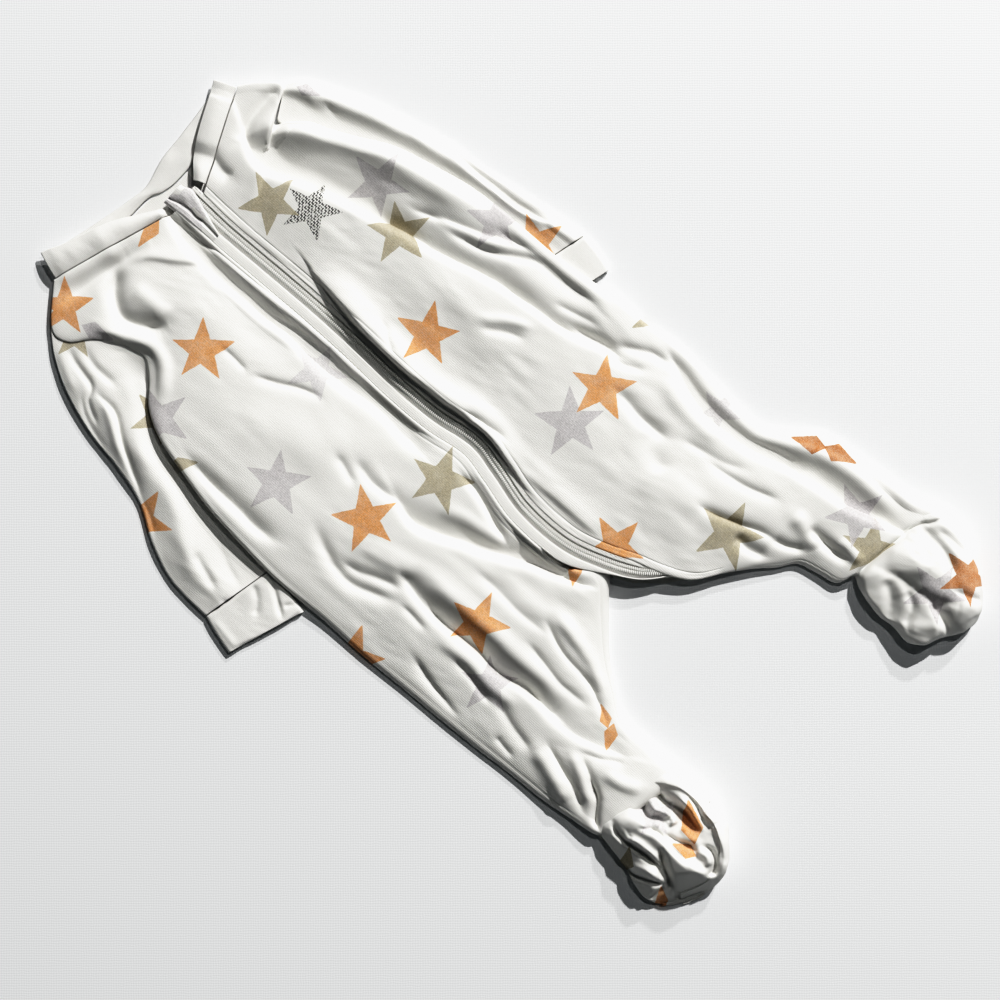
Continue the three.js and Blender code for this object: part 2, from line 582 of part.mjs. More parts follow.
// A foot's skins: the section table run round the outline
function footRings(foot, wall, out) {
  const centre = new THREE.Vector2(...foot.centre);
  const rim = new THREE.CatmullRomCurve3(
    foot.outline.map(([x, y]) => new THREE.Vector3(x, y, 0)), true, "centripetal",
  );
  const ring = (i, share) => {
    const [reach, height] = foot.section[i];
    const edge = rim.getPointAt(share);
    const from = new THREE.Vector2(edge.x - centre.x, edge.y - centre.y);
    const before = foot.section[Math.max(0, i - 1)];
    const after = foot.section[Math.min(foot.section.length - 1, i + 1)];
    const rise = after[1] - before[1];
    const run = (after[0] - before[0]) * from.length();
    const steep = i === 0 ? 1 : rise / Math.hypot(rise, run);
    const level = i === 0 ? 0 : -run / Math.hypot(rise, run);
    const shift = out - wall;
    const scale = reach + (steep * shift) / from.length();
    const x = centre.x + from.x * scale;
    const y = centre.y + from.y * scale;
    const fold = foldHeight(FOOT_FOLDS, x, y) * Math.min(1, (height - foot.section[0][1]) / foot.middle);
    return new THREE.Vector3(x, y, height + fold + level * shift);
  };
  const middle = new THREE.Vector3(
    centre.x,
    centre.y,
    foot.middle + foldHeight(FOOT_FOLDS, centre.x, centre.y) + out - wall,
  );
  return { ring, middle };
}

function footUpper(foot) {
  const skin = (wall) => {
    const { ring, middle } = footRings(foot, wall, 0);
    const rings = foot.section.map((_, i) =>
      Array.from({ length: FOOT_SIDES }, (_unused, k) => ring(i, k / FOOT_SIDES)),
    );
    return { rings, middle };
  };
  const outer = skin(0);
  const inner = skin(JERSEY);
  return hollow(outer.rings, inner.rings, [outer.middle, inner.middle]);
}

function footSole(foot) {
  const [cx, cy] = foot.centre;
  return flatPiece(
    foot.outline.map(([x, y]) => [cx + (x - cx) * SOLE_REACH, cy + (y - cy) * SOLE_REACH]),
    JERSEY,
  );
}

// The turned-back band lies on the foot's rim: the foot's own points, moved out
function ankleBand(foot) {
  const { from, to, firstRing, lastRing, sides } = ANKLE_BAND;
  const start = shareAtAngle(foot, from);
  const sweep = (to - from) / 360;
  const layer = (out) => {
    const { ring } = footRings(foot, 0, out);
    const rows = [];
    for (let i = firstRing; i <= lastRing; i++) {
      rows.push([]);
      for (let k = 0; k <= sides; k++) {
        const share = (start + (sweep * k) / sides) % 1;
        rows[i - firstRing].push(ring(i, share));
      }
    }
    return rows;
  };
  return sheet(layer(BAND_CLEAR + RIB), layer(BAND_CLEAR));
}

// Where the outline passes a direction, in degrees clockwise from +X
function shareAtAngle(foot, degrees) {
  const rim = new THREE.CatmullRomCurve3(
    foot.outline.map(([x, y]) => new THREE.Vector3(x, y, 0)), true, "centripetal",
  );
  let best = 0;
  let least = Infinity;
  for (let i = 0; i < TURN_STEPS; i++) {
    const p = rim.getPointAt(i / TURN_STEPS);
    const angle = THREE.MathUtils.radToDeg(Math.atan2(foot.centre[1] - p.y, p.x - foot.centre[0]));
    const off = Math.abs(((angle - degrees + 540) % 360) - 180);
    if (off < least) {
      least = off;
      best = i / TURN_STEPS;
    }
  }
  return best;
}

const suit = new THREE.Group();
function add(name, geometry, material) {
  const mesh = new THREE.Mesh(geometry, material);
  mesh.name = name;
  suit.add(mesh);
}

const rightFace = frontFace(RIGHT_BODY, RIGHT_LEG, -1);
const leftFace = frontFace(LEFT_BODY, LEFT_LEG, 1);

add("back_panel", flatPiece(BACK_OUTLINE, JERSEY), jersey);
add("front_right", frontPanel(rightFace), jersey);
add("front_left", frontPanel(leftFace), jersey);

add("welt_right", zipStrip(-WELT_TO, -WELT_FROM, 0, JERSEY, 0, ZIP_LENGTH), jersey);
add("welt_left", zipStrip(WELT_FROM, WELT_TO, 0, JERSEY, 0, ZIP_LENGTH), jersey);
const tapeTop = -JERSEY - SEAM;
add("zip_tape_right", zipStrip(-WELT_TO, -WELT_FROM, tapeTop, TAPE_THICK, 0, ZIP_LENGTH), tapeCloth);
add("zip_tape_left", zipStrip(WELT_FROM, WELT_TO, tapeTop, TAPE_THICK, 0, ZIP_LENGTH), tapeCloth);
add("zip_coil", zipStrip(-COIL_HALF, COIL_HALF, 0, COIL_THICK, 0, ZIP_LENGTH), coilPlastic);
add("zip_slider", sliderPiece(), sliderPaint);
add("zip_guard", guardPiece(), jersey);

const rightSleeve = sleeveSections(SLEEVE_RIGHT, "right", armholeBend(rightFace));
const leftSleeve = sleeveSections(SLEEVE_LEFT, "left");
add("sleeve_right", flatTube(rightSleeve, TUBE_ACROSS.sleeve, JERSEY), jersey);
add("sleeve_left", flatTube(leftSleeve, TUBE_ACROSS.sleeve, JERSEY), jersey);
add("cuff_right", flatTube(cuffSections(CUFF_RIGHT), TUBE_ACROSS.cuff, RIB), ribCloth);
add("cuff_left", flatTube(cuffSections(CUFF_LEFT), TUBE_ACROSS.cuff, RIB), ribCloth);

add("neckband_back", flatPiece(BACK_BAND_OUTLINE, RIB), ribCloth);
add("neckband_right", neckband(rightFace, BAND_RIGHT), ribCloth);
add("neckband_left", neckband(leftFace, BAND_LEFT), ribCloth);

add("foot_left_sole", footSole(FOOT_LEFT), jersey);
add("foot_left_upper", footUpper(FOOT_LEFT), jersey);
add("foot_right_sole", footSole(FOOT_RIGHT), jersey);
add("foot_right_upper", footUpper(FOOT_RIGHT), jersey);
add("ankle_band_right", ankleBand(FOOT_RIGHT), ribCloth);

// The origin is on the ground, under the middle of the garment's outline
const reach = new THREE.Box3().setFromObject(suit);
const centre = reach.getCenter(new THREE.Vector3());
suit.position.set(-centre.x, -centre.y, -reach.min.z);

export default suit;
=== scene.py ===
# The looks of a footed baby sleepsuit that lies flat on its back.
# Drawing sizes are millimetres on the garment: +Y to the neck, +X to the wearer's left.
import math
import bmesh
import bpy
import numpy as np
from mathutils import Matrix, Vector


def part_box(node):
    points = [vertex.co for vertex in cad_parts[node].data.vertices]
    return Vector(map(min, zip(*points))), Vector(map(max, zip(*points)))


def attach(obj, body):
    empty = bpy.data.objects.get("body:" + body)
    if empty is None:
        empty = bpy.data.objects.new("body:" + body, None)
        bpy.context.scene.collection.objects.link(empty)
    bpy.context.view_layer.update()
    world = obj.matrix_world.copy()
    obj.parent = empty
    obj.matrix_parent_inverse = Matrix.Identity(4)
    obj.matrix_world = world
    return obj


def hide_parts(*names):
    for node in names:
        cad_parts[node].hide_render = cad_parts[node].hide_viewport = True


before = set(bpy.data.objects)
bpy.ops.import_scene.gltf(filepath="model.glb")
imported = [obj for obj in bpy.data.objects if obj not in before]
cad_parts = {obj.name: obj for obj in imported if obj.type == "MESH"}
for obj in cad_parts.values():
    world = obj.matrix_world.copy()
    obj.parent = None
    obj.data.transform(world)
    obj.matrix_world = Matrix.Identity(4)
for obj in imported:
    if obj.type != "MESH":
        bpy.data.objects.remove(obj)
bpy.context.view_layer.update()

MM = 0.001
FINE = 1.0

# Drawing to frame: the back neckband's outline starts at x -71 and ends at y 301
BACK_BAND_LOW, BACK_BAND_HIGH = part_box("neckband_back")
SHIFT_X = BACK_BAND_LOW[0] / MM + 71.0
SHIFT_Y = BACK_BAND_HIGH[1] / MM - 301.0

# The photograph's frame: millimetres for each pixel, and how far the garment is turned in it
PIXEL = 0.6
TURN = math.radians(42)
PHOTO_MIDDLE = (513.5, 493.5)
PHOTO_RIGHT = (math.sin(TURN), -math.cos(TURN))
PHOTO_UP = (math.cos(TURN), math.sin(TURN))


def from_photo(px, py):
    """A pixel of the photograph as a place on the garment, in drawing millimetres."""
    u = (px - PHOTO_MIDDLE[0]) * PIXEL
    v = (PHOTO_MIDDLE[1] - py) * PIXEL
    return (
        u * PHOTO_RIGHT[0] + v * PHOTO_UP[0],
        u * PHOTO_RIGHT[1] + v * PHOTO_UP[1],
    )


# Camera, straight above
PHOTO_SIDE = 1000
CAMERA_HEIGHT = 1.5
FIELD = PHOTO_SIDE * PIXEL * MM
middle_x, middle_y = from_photo(PHOTO_SIDE / 2, PHOTO_SIDE / 2)
camera_data = bpy.data.cameras.new("camera")
camera_data.sensor_width = 36.0
camera_data.lens = camera_data.sensor_width * CAMERA_HEIGHT / FIELD
camera_data.clip_end = 20.0
camera = bpy.data.objects.new("camera", camera_data)
camera.location = ((middle_x + SHIFT_X) * MM, (middle_y + SHIFT_Y) * MM, CAMERA_HEIGHT)
camera.rotation_euler = (0, 0, math.atan2(PHOTO_RIGHT[1], PHOTO_RIGHT[0]))
bpy.context.scene.collection.objects.link(camera)
bpy.context.scene.camera = camera

# Thickness of each piece's cloth
THICK = {
    "jersey": 0.9, "rib": 1.5, "back": 1.3, "front_band": 1.2, "back_band": 1.1, "welt": 0.7,
    "tape": 0.5, "guard": 0.9, "sole": 0.9, "ankle_band": 1.2,
}
FLOOR_GAP = 0.5

# The zip's centre line: x, y and the height of its face
ZIP = np.array([
    (0, 265, 6.0), (-1, 234, 6.5), (0, 200, 7.0), (1, 165, 7.2), (1, 130, 6.6), (0, 95, 5.8),
    (1, 66, 5.8), (5, 38, 7.0), (1, 16, 8.5), (-5, -10, 10.0), (-5, -40, 11.0), (1, -63, 11.5),
    (13, -89, 12.0), (32, -109, 10.5), (50, -122, 8.5),
], float)
COIL_MIDDLE = 3.3
COIL_ROW = 1.3
WELT_RIGHT = (-8.0, -1.2)
WELT_LEFT = (6.4, 9.5)
PANEL_FROM = {-1: 8.6, 1: 10.0}  # by side: wearer's right, wearer's left

# Sections of the fronts on the body: side edge x, y and top, swell, how far round the side the
# cloth turns, the height it turns down to, and the length down the zip
RIGHT_BODY = np.array([
    (-88, 289, 5.0, 2.0, 0.6, 3.6, 3),
    (-110, 271, 5.0, 3.0, 0.6, 4.2, 15),
    (-110, 259, 6.0, 4.0, 0.6, 4.9, 28),
    (-99, 249, 7.0, 4.5, 0.6, 5.8, 38),
    (-92, 239, 7.0, 5.0, 0.6, 5.6, 47),
    (-87, 228, 7.5, 5.0, 0.6, 5.4, 58),
    (-86, 217, 7.5, 5.0, 0.8, 4.8, 70),
    (-94, 206, 7.8, 5.0, 1.2, 4.4, 82),
    (-106, 195, 9.6, 4.6, 1.6, 4.2, 94),
    (-115, 178, 12.4, 3.6, 1.6, 4.2, 108),
    (-121, 154, 13.0, 3.0, 1.6, 4.2, 128),
    (-126, 130, 12.4, 3.0, 1.6, 4.2, 149),
    (-129, 100, 11.0, 3.4, 2.0, 4.2, 176),
    (-131, 68, 8.0, 4.0, 2.0, 3.0, 206),
    (-128, 34, 6.0, 5.0, 4.0, 0.8, 238),
    (-128, 2, 5.0, 5.0, 4.0, 0.6, 266),
    (-126, -30, 4.6, 5.0, 4.5, 0.6, 296),
    (-125, -56, 4.6, 5.5, 4.5, 0.6, 322),
], float)
LEFT_BODY = np.array([
    (70, 285, 5.0, 2.0, 0.6, 3.6, 7),
    (80, 277, 6.0, 3.0, 0.6, 3.6, 20),
    (88, 266, 6.0, 4.0, 0.6, 3.8, 31),
    (77, 260, 6.0, 4.0, 0.6, 4.4, 40),
    (67, 254, 3.4, 4.0, 0.6, 3.0, 49),
    (74, 247, 6.6, 4.0, 1.2, 4.6, 57),
    (81, 238, 8.5, 4.0, 2.0, 5.4, 66),
    (86, 226, 8.5, 4.0, 2.0, 5.6, 77),
    (94, 210, 8.5, 4.5, 2.0, 5.6, 90),
    (104, 191, 8.5, 5.0, 2.0, 5.4, 105),
    (111, 166, 8.5, 5.0, 2.0, 5.2, 125),
    (117, 138, 8.5, 5.0, 2.0, 5.0, 148),
    (119, 105, 8.5, 4.0, 2.0, 5.0, 174),
    (120, 72, 8.5, 4.0, 2.0, 5.4, 202),
    (124, 40, 8.0, 4.0, 2.5, 2.4, 230),
    (125, 10, 5.0, 5.0, 3.0, 0.6, 258),
    (128, -18, 4.6, 5.0, 3.0, 0.6, 285),
    (126, -45, 4.6, 5.0, 3.0, 0.6, 311),
    (125, -66, 4.6, 5.0, 3.0, 0.6, 333),
    (125, -84, 4.6, 5.0, 3.0, 0.6, 354),
    (135, -99, 4.6, 5.0, 3.0, 0.6, 376),
    (145, -111, 4.6, 5.0, 3.0, 0.6, 397),
    (148, -119, 4.8, 5.5, 3.0, 0.6, 410),
], float)
# On the legs: the same, then the inside seam x, y and top, and how far its cloth turns under
RIGHT_LEG = np.array([
    (-124, -74, 4.6, 6.0, 4.5, 0.6, -5, -71, 10.0, 9.0),
    (-123, -89, 4.6, 7.0, 4.5, 0.6, -19, -86, 7.5, 8.0),
    (-122, -105, 4.6, 7.0, 4.0, 0.6, -37, -105, 6.0, 5.0),
    (-121, -121, 5.0, 7.0, 4.0, 0.6, -49, -122, 6.0, 3.0),
    (-120, -137, 6.0, 7.0, 4.0, 0.6, -60, -139, 7.0, 3.0),
    (-118, -154, 7.0, 6.0, 3.5, 0.6, -61, -160, 8.0, 3.0),
    (-116, -171, 9.0, 4.0, 3.0, 0.6, -61, -182, 10.0, 3.0),
    (-115, -176, 5.0, 3.0, 1.0, 2.0, -62, -187, 5.0, 1.0),
], float)
LEFT_LEG = np.array([
    (150, -129, 5.0, 6.0, 3.0, 0.6, 65, -136, 7.0, 2.0),
    (151, -140, 5.0, 6.0, 3.0, 0.6, 76, -146, 5.6, 3.0),
    (152, -152, 5.5, 6.0, 3.0, 0.6, 86, -154, 5.6, 3.0),
    (153, -166, 6.0, 6.0, 3.0, 0.6, 90, -167, 6.0, 3.0),
    (154, -181, 7.0, 5.0, 3.0, 0.6, 93, -179, 7.0, 3.0),
    (159, -195, 9.0, 4.0, 3.0, 0.6, 101, -183, 9.0, 3.0),
    (157, -199, 5.0, 3.0, 1.0, 2.0, 103, -187, 5.0, 1.0),
], float)
ZIP_EDGE_WIDE = 1.6  # how far from the zip's edge the folds begin
ZIP_TURN = (0.12, 1.0)  # where a front meets its welt: how far the edge turns, and how deep

# The seam round the left ankle, in photo pixels; the leg's end and the foot both dip there
ANKLE_SEAM = [
    (850, 584), (856, 573), (870, 559), (885, 546), (905, 532), (920, 524), (948, 520), (960, 521),
]

# Folds: the path in photo pixels from the neck down, half width on its left and on its right in
# pixels, rise in millimetres (a valley is negative), and sharpness (2 is soft, 1.4 a crease)
FRONT_FOLDS = [
    # wearer's left chest, where the puffed side drops to a long crease
    ([(246, 138), (254, 158), (264, 169), (280, 176), (300, 182), (330, 195), (360, 211), (392, 228)],
     30, 2.6, -11.0, 1.2),
    ([(372, 217), (400, 231), (430, 250), (460, 265), (480, 274), (500, 286), (524, 302)],
     13, 3, -6.4, 1.25),
    ([(505, 288), (520, 300), (540, 314), (560, 328), (580, 339), (600, 347), (616, 356)],
     12, 3, -5.4, 1.25),
    ([(262, 130), (300, 133), (340, 138), (372, 150), (404, 168), (440, 190), (480, 212)],
     12, 15, 5.0, 2.0),
    ([(415, 212), (440, 221), (462, 229), (484, 237), (504, 241)], 5, 3, -2.2, 1.5),
    ([(436, 219), (460, 231), (482, 240)], 3.5, 3.5, 1.6, 1.7),
    ([(452, 236), (480, 250), (504, 257), (532, 262)], 5, 3, -2.0, 1.5),
    ([(476, 241), (500, 247), (520, 251), (544, 259)], 4, 4, 2.0, 1.7),
    ([(512, 228), (530, 240), (548, 253), (575, 276), (608, 304)], 3.5, 4.5, 3.0, 1.6),
    ([(498, 232), (520, 246), (545, 264), (570, 286), (594, 306)], 5, 13, -3.4, 1.6),
    ([(480, 321), (505, 322), (530, 328)], 4, 4, 1.6, 1.6),
    ([(482, 331), (505, 334), (524, 340)], 5, 4, -1.4, 1.6),
    ([(556, 305), (575, 315), (598, 326)], 5, 4, -1.8, 1.6),
    ([(210, 150), (222, 170), (234, 180)], 6, 8, -2.2, 1.8),
    ([(282, 86), (268, 101), (256, 116), (247, 130), (240, 144)], 7, 8, -3.0, 1.8),
    ([(420, 320), (440, 290), (470, 310), (500, 360)], 22, 22, 1.2, 2.0),
    # wearer's left hip
    ([(574, 328), (590, 338), (604, 346), (620, 358)], 7, 4, -3.6, 1.5),
    ([(616, 347), (640, 351), (656, 356), (668, 366)], 5, 6, -2.2, 1.7),
    ([(608, 357), (624, 366), (642, 371)], 5, 4, -2.2, 1.7),
    ([(616, 392), (624, 400), (634, 412), (644, 423), (654, 431), (666, 438)], 8, 6, -3.0, 1.7),
    ([(648, 432), (654, 452), (660, 474)], 12, 12, -1.4, 2.0),
    ([(668, 350), (678, 371), (690, 395), (705, 415), (720, 428), (738, 442), (760, 455), (780, 464),
      (800, 475)], 14, 3, -9.0, 1.25),
    ([(788, 468), (820, 488), (840, 502), (855, 510), (875, 519), (908, 534)], 24, 3, -8.0, 1.3),
    ([(690, 366), (720, 396), (745, 420), (775, 440), (810, 452), (845, 470), (875, 496), (900, 522)],
     9, 10, 3.4, 2.0),
    ([(664, 380), (676, 402), (694, 424), (720, 444)], 9, 9, 1.6, 2.0),
    ([(680, 440), (700, 451), (722, 463), (744, 470)], 5, 5, -1.2, 1.7),
    ([(706, 462), (725, 475), (745, 487), (776, 500)], 4, 6, -1.8, 1.6),
    ([(640, 470), (680, 500), (700, 510)], 16, 16, 1.4, 2.0),
    ([(698, 506), (712, 514), (724, 519), (742, 526), (757, 531), (770, 538)], 5, 3, -3.0, 1.4),
    ([(734, 534), (745, 547), (764, 556)], 7, 6, -3.0, 1.8),
    ([(770, 539), (785, 546), (802, 549)], 5, 4, -2.6, 1.7),
    ([(806, 526), (818, 538), (832, 550), (848, 560)], 6, 6, -4.0, 1.7),
    ([(790, 515), (805, 530), (815, 548)], 8, 8, 2.2, 2.0),
    (ANKLE_SEAM, 2.4, 3.0, -2.6, 1.6),
    ([(836, 540), (848, 553), (858, 562)], 6, 6, 1.8, 2.0),
    # along the zip, on its wearer's left side
    ([(316, 272), (332, 290), (350, 311), (374, 340), (392, 357), (410, 372), (429, 386), (446, 400),
      (465, 413), (482, 431), (500, 456), (516, 476)], 20, 3, 6.4, 1.9),
    ([(345, 301), (362, 318), (378, 335), (394, 351), (412, 367)], 12, 8, 0.8, 1.9),
    ([(384, 322), (388, 340), (394, 354)], 3, 3, -1.6, 1.5),
    ([(404, 358), (430, 374), (456, 388), (480, 402)], 14, 8, -1.6, 1.9),
    ([(466, 412), (484, 424), (504, 438)], 4, 4, -2.6, 1.5),
    ([(524, 470), (560, 500), (600, 535)], 12, 5, 1.4, 2.0),
    # along the zip, on its wearer's right side
    ([(172, 224), (200, 258), (222, 280), (245, 300), (265, 318), (288, 334), (308, 354), (330, 372)],
     13, 4, -7.5, 1.5),
    ([(310, 356), (330, 372), (350, 388), (368, 399), (388, 415), (404, 433), (418, 450)],
     13, 6, -6.0, 1.6),
    ([(284, 322), (302, 335), (322, 350), (336, 358)], 6, 4, -2.4, 1.5),
    ([(205, 275), (232, 305), (262, 332), (300, 360)], 6, 20, -1.4, 2.0),
    ([(200, 240), (232, 268), (266, 296), (300, 322), (336, 350), (372, 380), (410, 412)],
     4, 6, 2.2, 1.8),
    ([(160, 206), (178, 224), (198, 239), (216, 249), (226, 249)], 3, 3, -2.8, 1.5),
    ([(462, 476), (474, 488), (485, 505), (495, 524), (506, 542)], 5, 4, -3.6, 1.5),
    ([(398, 500), (414, 524), (440, 536), (462, 542), (482, 550), (505, 557), (530, 563), (555, 574),
      (582, 584)], 18, 3, -9.0, 1.25),
    ([(440, 508), (466, 520), (488, 534), (512, 545)], 7, 7, 1.8, 2.0),
    # side seam of the skirt and the edge over the right sleeve
    ([(170, 440), (185, 465), (205, 492), (225, 518), (245, 540), (265, 560), (285, 580), (320, 610),
      (350, 638), (380, 663), (420, 698), (470, 740)], 2.6, 2.2, -2.4, 1.6),
    ([(154, 400), (157, 425), (164, 450), (184, 474), (206, 496), (228, 520), (248, 543)],
     9, 4, 1.2, 1.9),
    # wearer's right chest
    ([(66, 302), (90, 285), (110, 270), (130, 259), (152, 246)], 10, 6, -3.2, 1.8),
    ([(60, 284), (90, 266), (124, 248)], 6, 8, 1.4, 2.0),
    ([(130, 263), (150, 258), (176, 261), (204, 264)], 12, 4, 1.8, 1.4),
    ([(120, 268), (116, 288), (118, 306), (126, 319), (142, 326), (160, 329), (170, 324)],
     9, 8, -4.4, 1.8),
    ([(136, 290), (152, 303), (172, 318)], 9, 9, 1.6, 2.0),
    ([(100, 325), (126, 342), (152, 346), (166, 366), (164, 400)], 7, 7, 2.4, 2.0),
    ([(226, 350), (238, 361), (248, 372)], 3, 4, -1.2, 1.6),
    ([(256, 377), (280, 384), (302, 389), (322, 398)], 3, 5, -1.8, 1.5),
    ([(240, 415), (300, 440), (350, 452)], 24, 24, 1.4, 2.0),
    ([(188, 460), (206, 478), (222, 493), (240, 509), (256, 526), (276, 540)], 9, 6, -3.2, 1.7),
    # wearer's right hip
    ([(338, 456), (347, 470), (354, 484)], 5, 5, -1.8, 1.7),
    ([(358, 462), (370, 480), (384, 492), (400, 502)], 7, 5, -2.4, 1.7),
    ([(318, 528), (328, 553), (340, 571), (354, 584), (376, 594), (396, 600)], 7, 6, -2.6, 1.7),
    ([(344, 560), (358, 571), (378, 578), (402, 588)], 6, 5, -2.2, 1.6),
    ([(366, 548), (390, 560), (416, 572)], 10, 8, 1.6, 2.0),
    ([(402, 572), (424, 604), (445, 625)], 9, 5, -3.4, 1.7),
    ([(432, 610), (445, 625), (462, 638), (478, 651), (490, 665), (505, 677), (522, 686), (536, 698),
      (550, 711)], 13, 3, -8.6, 1.3),
    ([(540, 702), (560, 722), (578, 735), (600, 745), (626, 754)], 18, 5, -3.2, 1.7),
    ([(424, 574), (450, 594), (480, 622), (506, 644), (530, 668), (556, 690)], 10, 10, 2.8, 2.0),
    ([(404, 606), (414, 616), (424, 628)], 4, 4, -1.6, 1.6),
    ([(478, 572), (498, 590), (515, 608), (532, 622), (546, 632)], 7, 4, -1.4, 1.6),
    ([(516, 580), (544, 598), (580, 620)], 14, 10, -1.0, 2.0),
    ([(546, 620), (556, 642), (566, 657), (578, 670), (590, 685), (598, 702), (606, 722)],
     4, 3, -2.2, 1.5),
    ([(558, 614), (576, 640), (592, 664), (602, 690)], 7, 6, 2.0, 2.0),
    ([(528, 642), (548, 668), (562, 685), (584, 702)], 4, 5, -1.8, 1.6),
    # wearer's right leg
    ([(415, 656), (430, 680), (446, 701), (458, 716)], 3, 5, -2.2, 1.5),
    ([(456, 660), (470, 675), (480, 690), (490, 702)], 5, 3, -1.8, 1.5),
    ([(440, 640), (466, 658), (490, 684), (516, 704)], 6, 6, 1.6, 2.0),
    ([(498, 700), (512, 724), (530, 748)], 5, 6, -1.6, 1.7),
    ([(496, 735), (504, 746), (512, 756)], 4, 4, -1.4, 1.6),
    ([(548, 744), (562, 768), (573, 787), (582, 808)], 4, 3, -2.2, 1.6),
    ([(536, 748), (552, 774), (566, 800)], 7, 7, 2.4, 2.0),
    ([(580, 750), (600, 757), (624, 761)], 4, 4, -1.6, 1.6),
    ([(582, 756), (590, 776), (597, 796)], 4, 4, -2.0, 1.6),
    ([(570, 752), (580, 772), (588, 800)], 5, 5, 1.6, 2.0),
    ([(604, 770), (622, 782), (640, 786)], 6, 6, 1.8, 2.0),
    ([(590, 780), (597, 796), (596, 812), (596, 830), (603, 843)], 2.6, 4, -4.4, 1.6),
]
FOLD_STRENGTH = 1.3
FOLD_REACH = 3  # a fold ends at this many of its half widths
FOLD_SIDES = 0.9  # how softly its left width passes into its right one
FOLD_ROUND = 0.5  # how round its crest or crease is
FOLD_FADE = (-0.10, 0.20)  # the shares of its length between which it fades in, and out at the other end
LEAST_CLEAR = 1.9  # the fronts stay above this height, which is a soft stop
SOFT_STOP = 1.4

# Sleeves: outer fold, inner fold, bend along the armhole, height of the roll
SLEEVE_RIGHT = np.array([
    (-112, 272, -107, 195, 1.0, 3.0), (-123, 259, -111, 183, 0.7, 4.5),
    (-134, 239, -113, 170, 0.35, 5.5), (-143, 212, -113, 156, 0.1, 5.5),
    (-147, 187, -114, 144, 0, 5.0), (-154, 163, -117, 130, 0, 5.0),
    (-167, 141, -122, 116, 0, 5.5), (-176, 117, -128, 98, 0, 5.0),
    (-178, 88, -132, 78, 0, 3.5),
], float)
SLEEVE_LEFT = np.array([
    (90.6, 265.9, 71, 254.5, 0, 1.5), (99, 259, 69, 238, 0, 4.0), (105, 247, 70, 222, 0, 4.5),
    (112, 231, 74, 206, 0, 5.0), (121, 204, 82, 186, 0, 5.0), (129, 172, 89, 160, 0, 5.0),
    (133, 140, 94, 134, 0, 5.0), (138, 106, 98, 104, 0, 4.5), (143, 72, 98, 84, 0, 3.0),
], float)
SLEEVE_TOP = 3.7
SLEEVE_LEAST = 2.6
ROLL = {"right": (0.34, 0.26), "left": (0.17, 0.12)}
ARMHOLE_ROWS = (1, 8)
SLEEVE_FOLDS = [
    ([(101, 396), (112, 407), (118, 417), (121, 432), (124, 445), (128, 457), (133, 472), (138, 484),
      (144, 499)], 4, 2, -3.0, 1.4),
    ([(91, 380), (93, 391), (90, 400), (93, 412), (99, 425)], 3, 3, -1.8, 1.6),
    ([(84, 396), (85, 411), (91, 425), (99, 439), (108, 452)], 3.4, 3, -2.0, 1.6),
    ([(70, 348), (76, 362), (86, 376), (93, 386)], 3.4, 3, -2.4, 1.5),
    ([(84, 345), (94, 364), (106, 376), (118, 386)], 5, 4, -1.6, 1.7),
    ([(118, 352), (136, 352), (145, 362), (147, 380), (152, 394)], 3, 3, -2.2, 1.5),
    ([(106, 400), (114, 426), (120, 452), (130, 480)], 5, 5, 1.2, 2.0),
    ([(128, 376), (138, 410), (142, 440), (152, 470)], 9, 9, 1.8, 2.0),
    ([(136, 486), (142, 500), (149, 512), (156, 534)], 3, 4, -2.0, 1.5),
    ([(160, 470), (176, 500), (186, 540), (196, 580)], 10, 10, 1.2, 2.0),
    ([(220, 520), (222, 545), (230, 566), (240, 584)], 4, 5, -2.2, 1.6),
    ([(196, 552), (206, 570), (216, 588)], 5, 5, -1.6, 1.8),
    ([(160, 556), (174, 584), (192, 602)], 5, 5, -1.6, 1.8),
    ([(222, 600), (240, 606), (256, 600)], 4, 4, -1.4, 1.7),
    ([(60, 340), (64, 362), (76, 392)], 5, 5, 1.6, 2.0),
    ([(460, 158), (480, 176), (500, 192), (520, 208), (546, 221)], 9, 3, -5.0, 1.5),
    ([(392, 114), (428, 134), (456, 156)], 9, 9, -2.0, 1.9),
    ([(296, 102), (306, 112), (316, 126), (328, 138)], 3, 5, -3.4, 1.5),
    ([(326, 106), (338, 122), (346, 134), (354, 146)], 4, 4, -2.6, 1.5),
    ([(308, 100), (326, 122), (340, 146)], 5, 5, 1.6, 2.0),
    ([(270, 118), (284, 115), (298, 118)], 5, 4, -1.4, 1.7),
    ([(356, 136), (380, 144), (404, 150)], 4, 5, -1.6, 1.7),
    ([(540, 224), (558, 238), (574, 250)], 5, 5, -1.4, 1.8),
]

CUFF_RIGHT = np.array([(-178.1, 87.5, -132.1, 77.5), (-182, 75, -134, 61), (-185, 63, -136.5, 46)])
CUFF_LEFT = np.array([(143, 71.5, 98, 83.5), (141, 59, 96, 71), (138, 47, 93.5, 59)])
CUFF_TOP = 4.4
CUFF_LEAST = 3.4
CUFF_FOLDS = [
    ([(270, 574), (275, 588), (278, 602), (282, 616)], 2.6, 2.6, -2.6, 1.5),
    ([(254, 584), (258, 600), (256, 616)], 4, 4, -1.2, 1.7),
    ([(232, 650), (250, 642), (270, 633), (290, 621), (308, 606)], 1.6, 1.8, -2.2, 1.6),
    ([(284, 606), (296, 604), (306, 604)], 2.4, 2.4, -1.8, 1.5),
    ([(214, 620), (226, 634), (236, 646)], 4, 4, 1.0, 1.8),
]

BAND_RIGHT = [17, 14.5, 13.5, 12, 8, 4]
BAND_LEFT = [13.5, 13, 13, 12.5, 11, 7]
BAND_REACH = 0.92

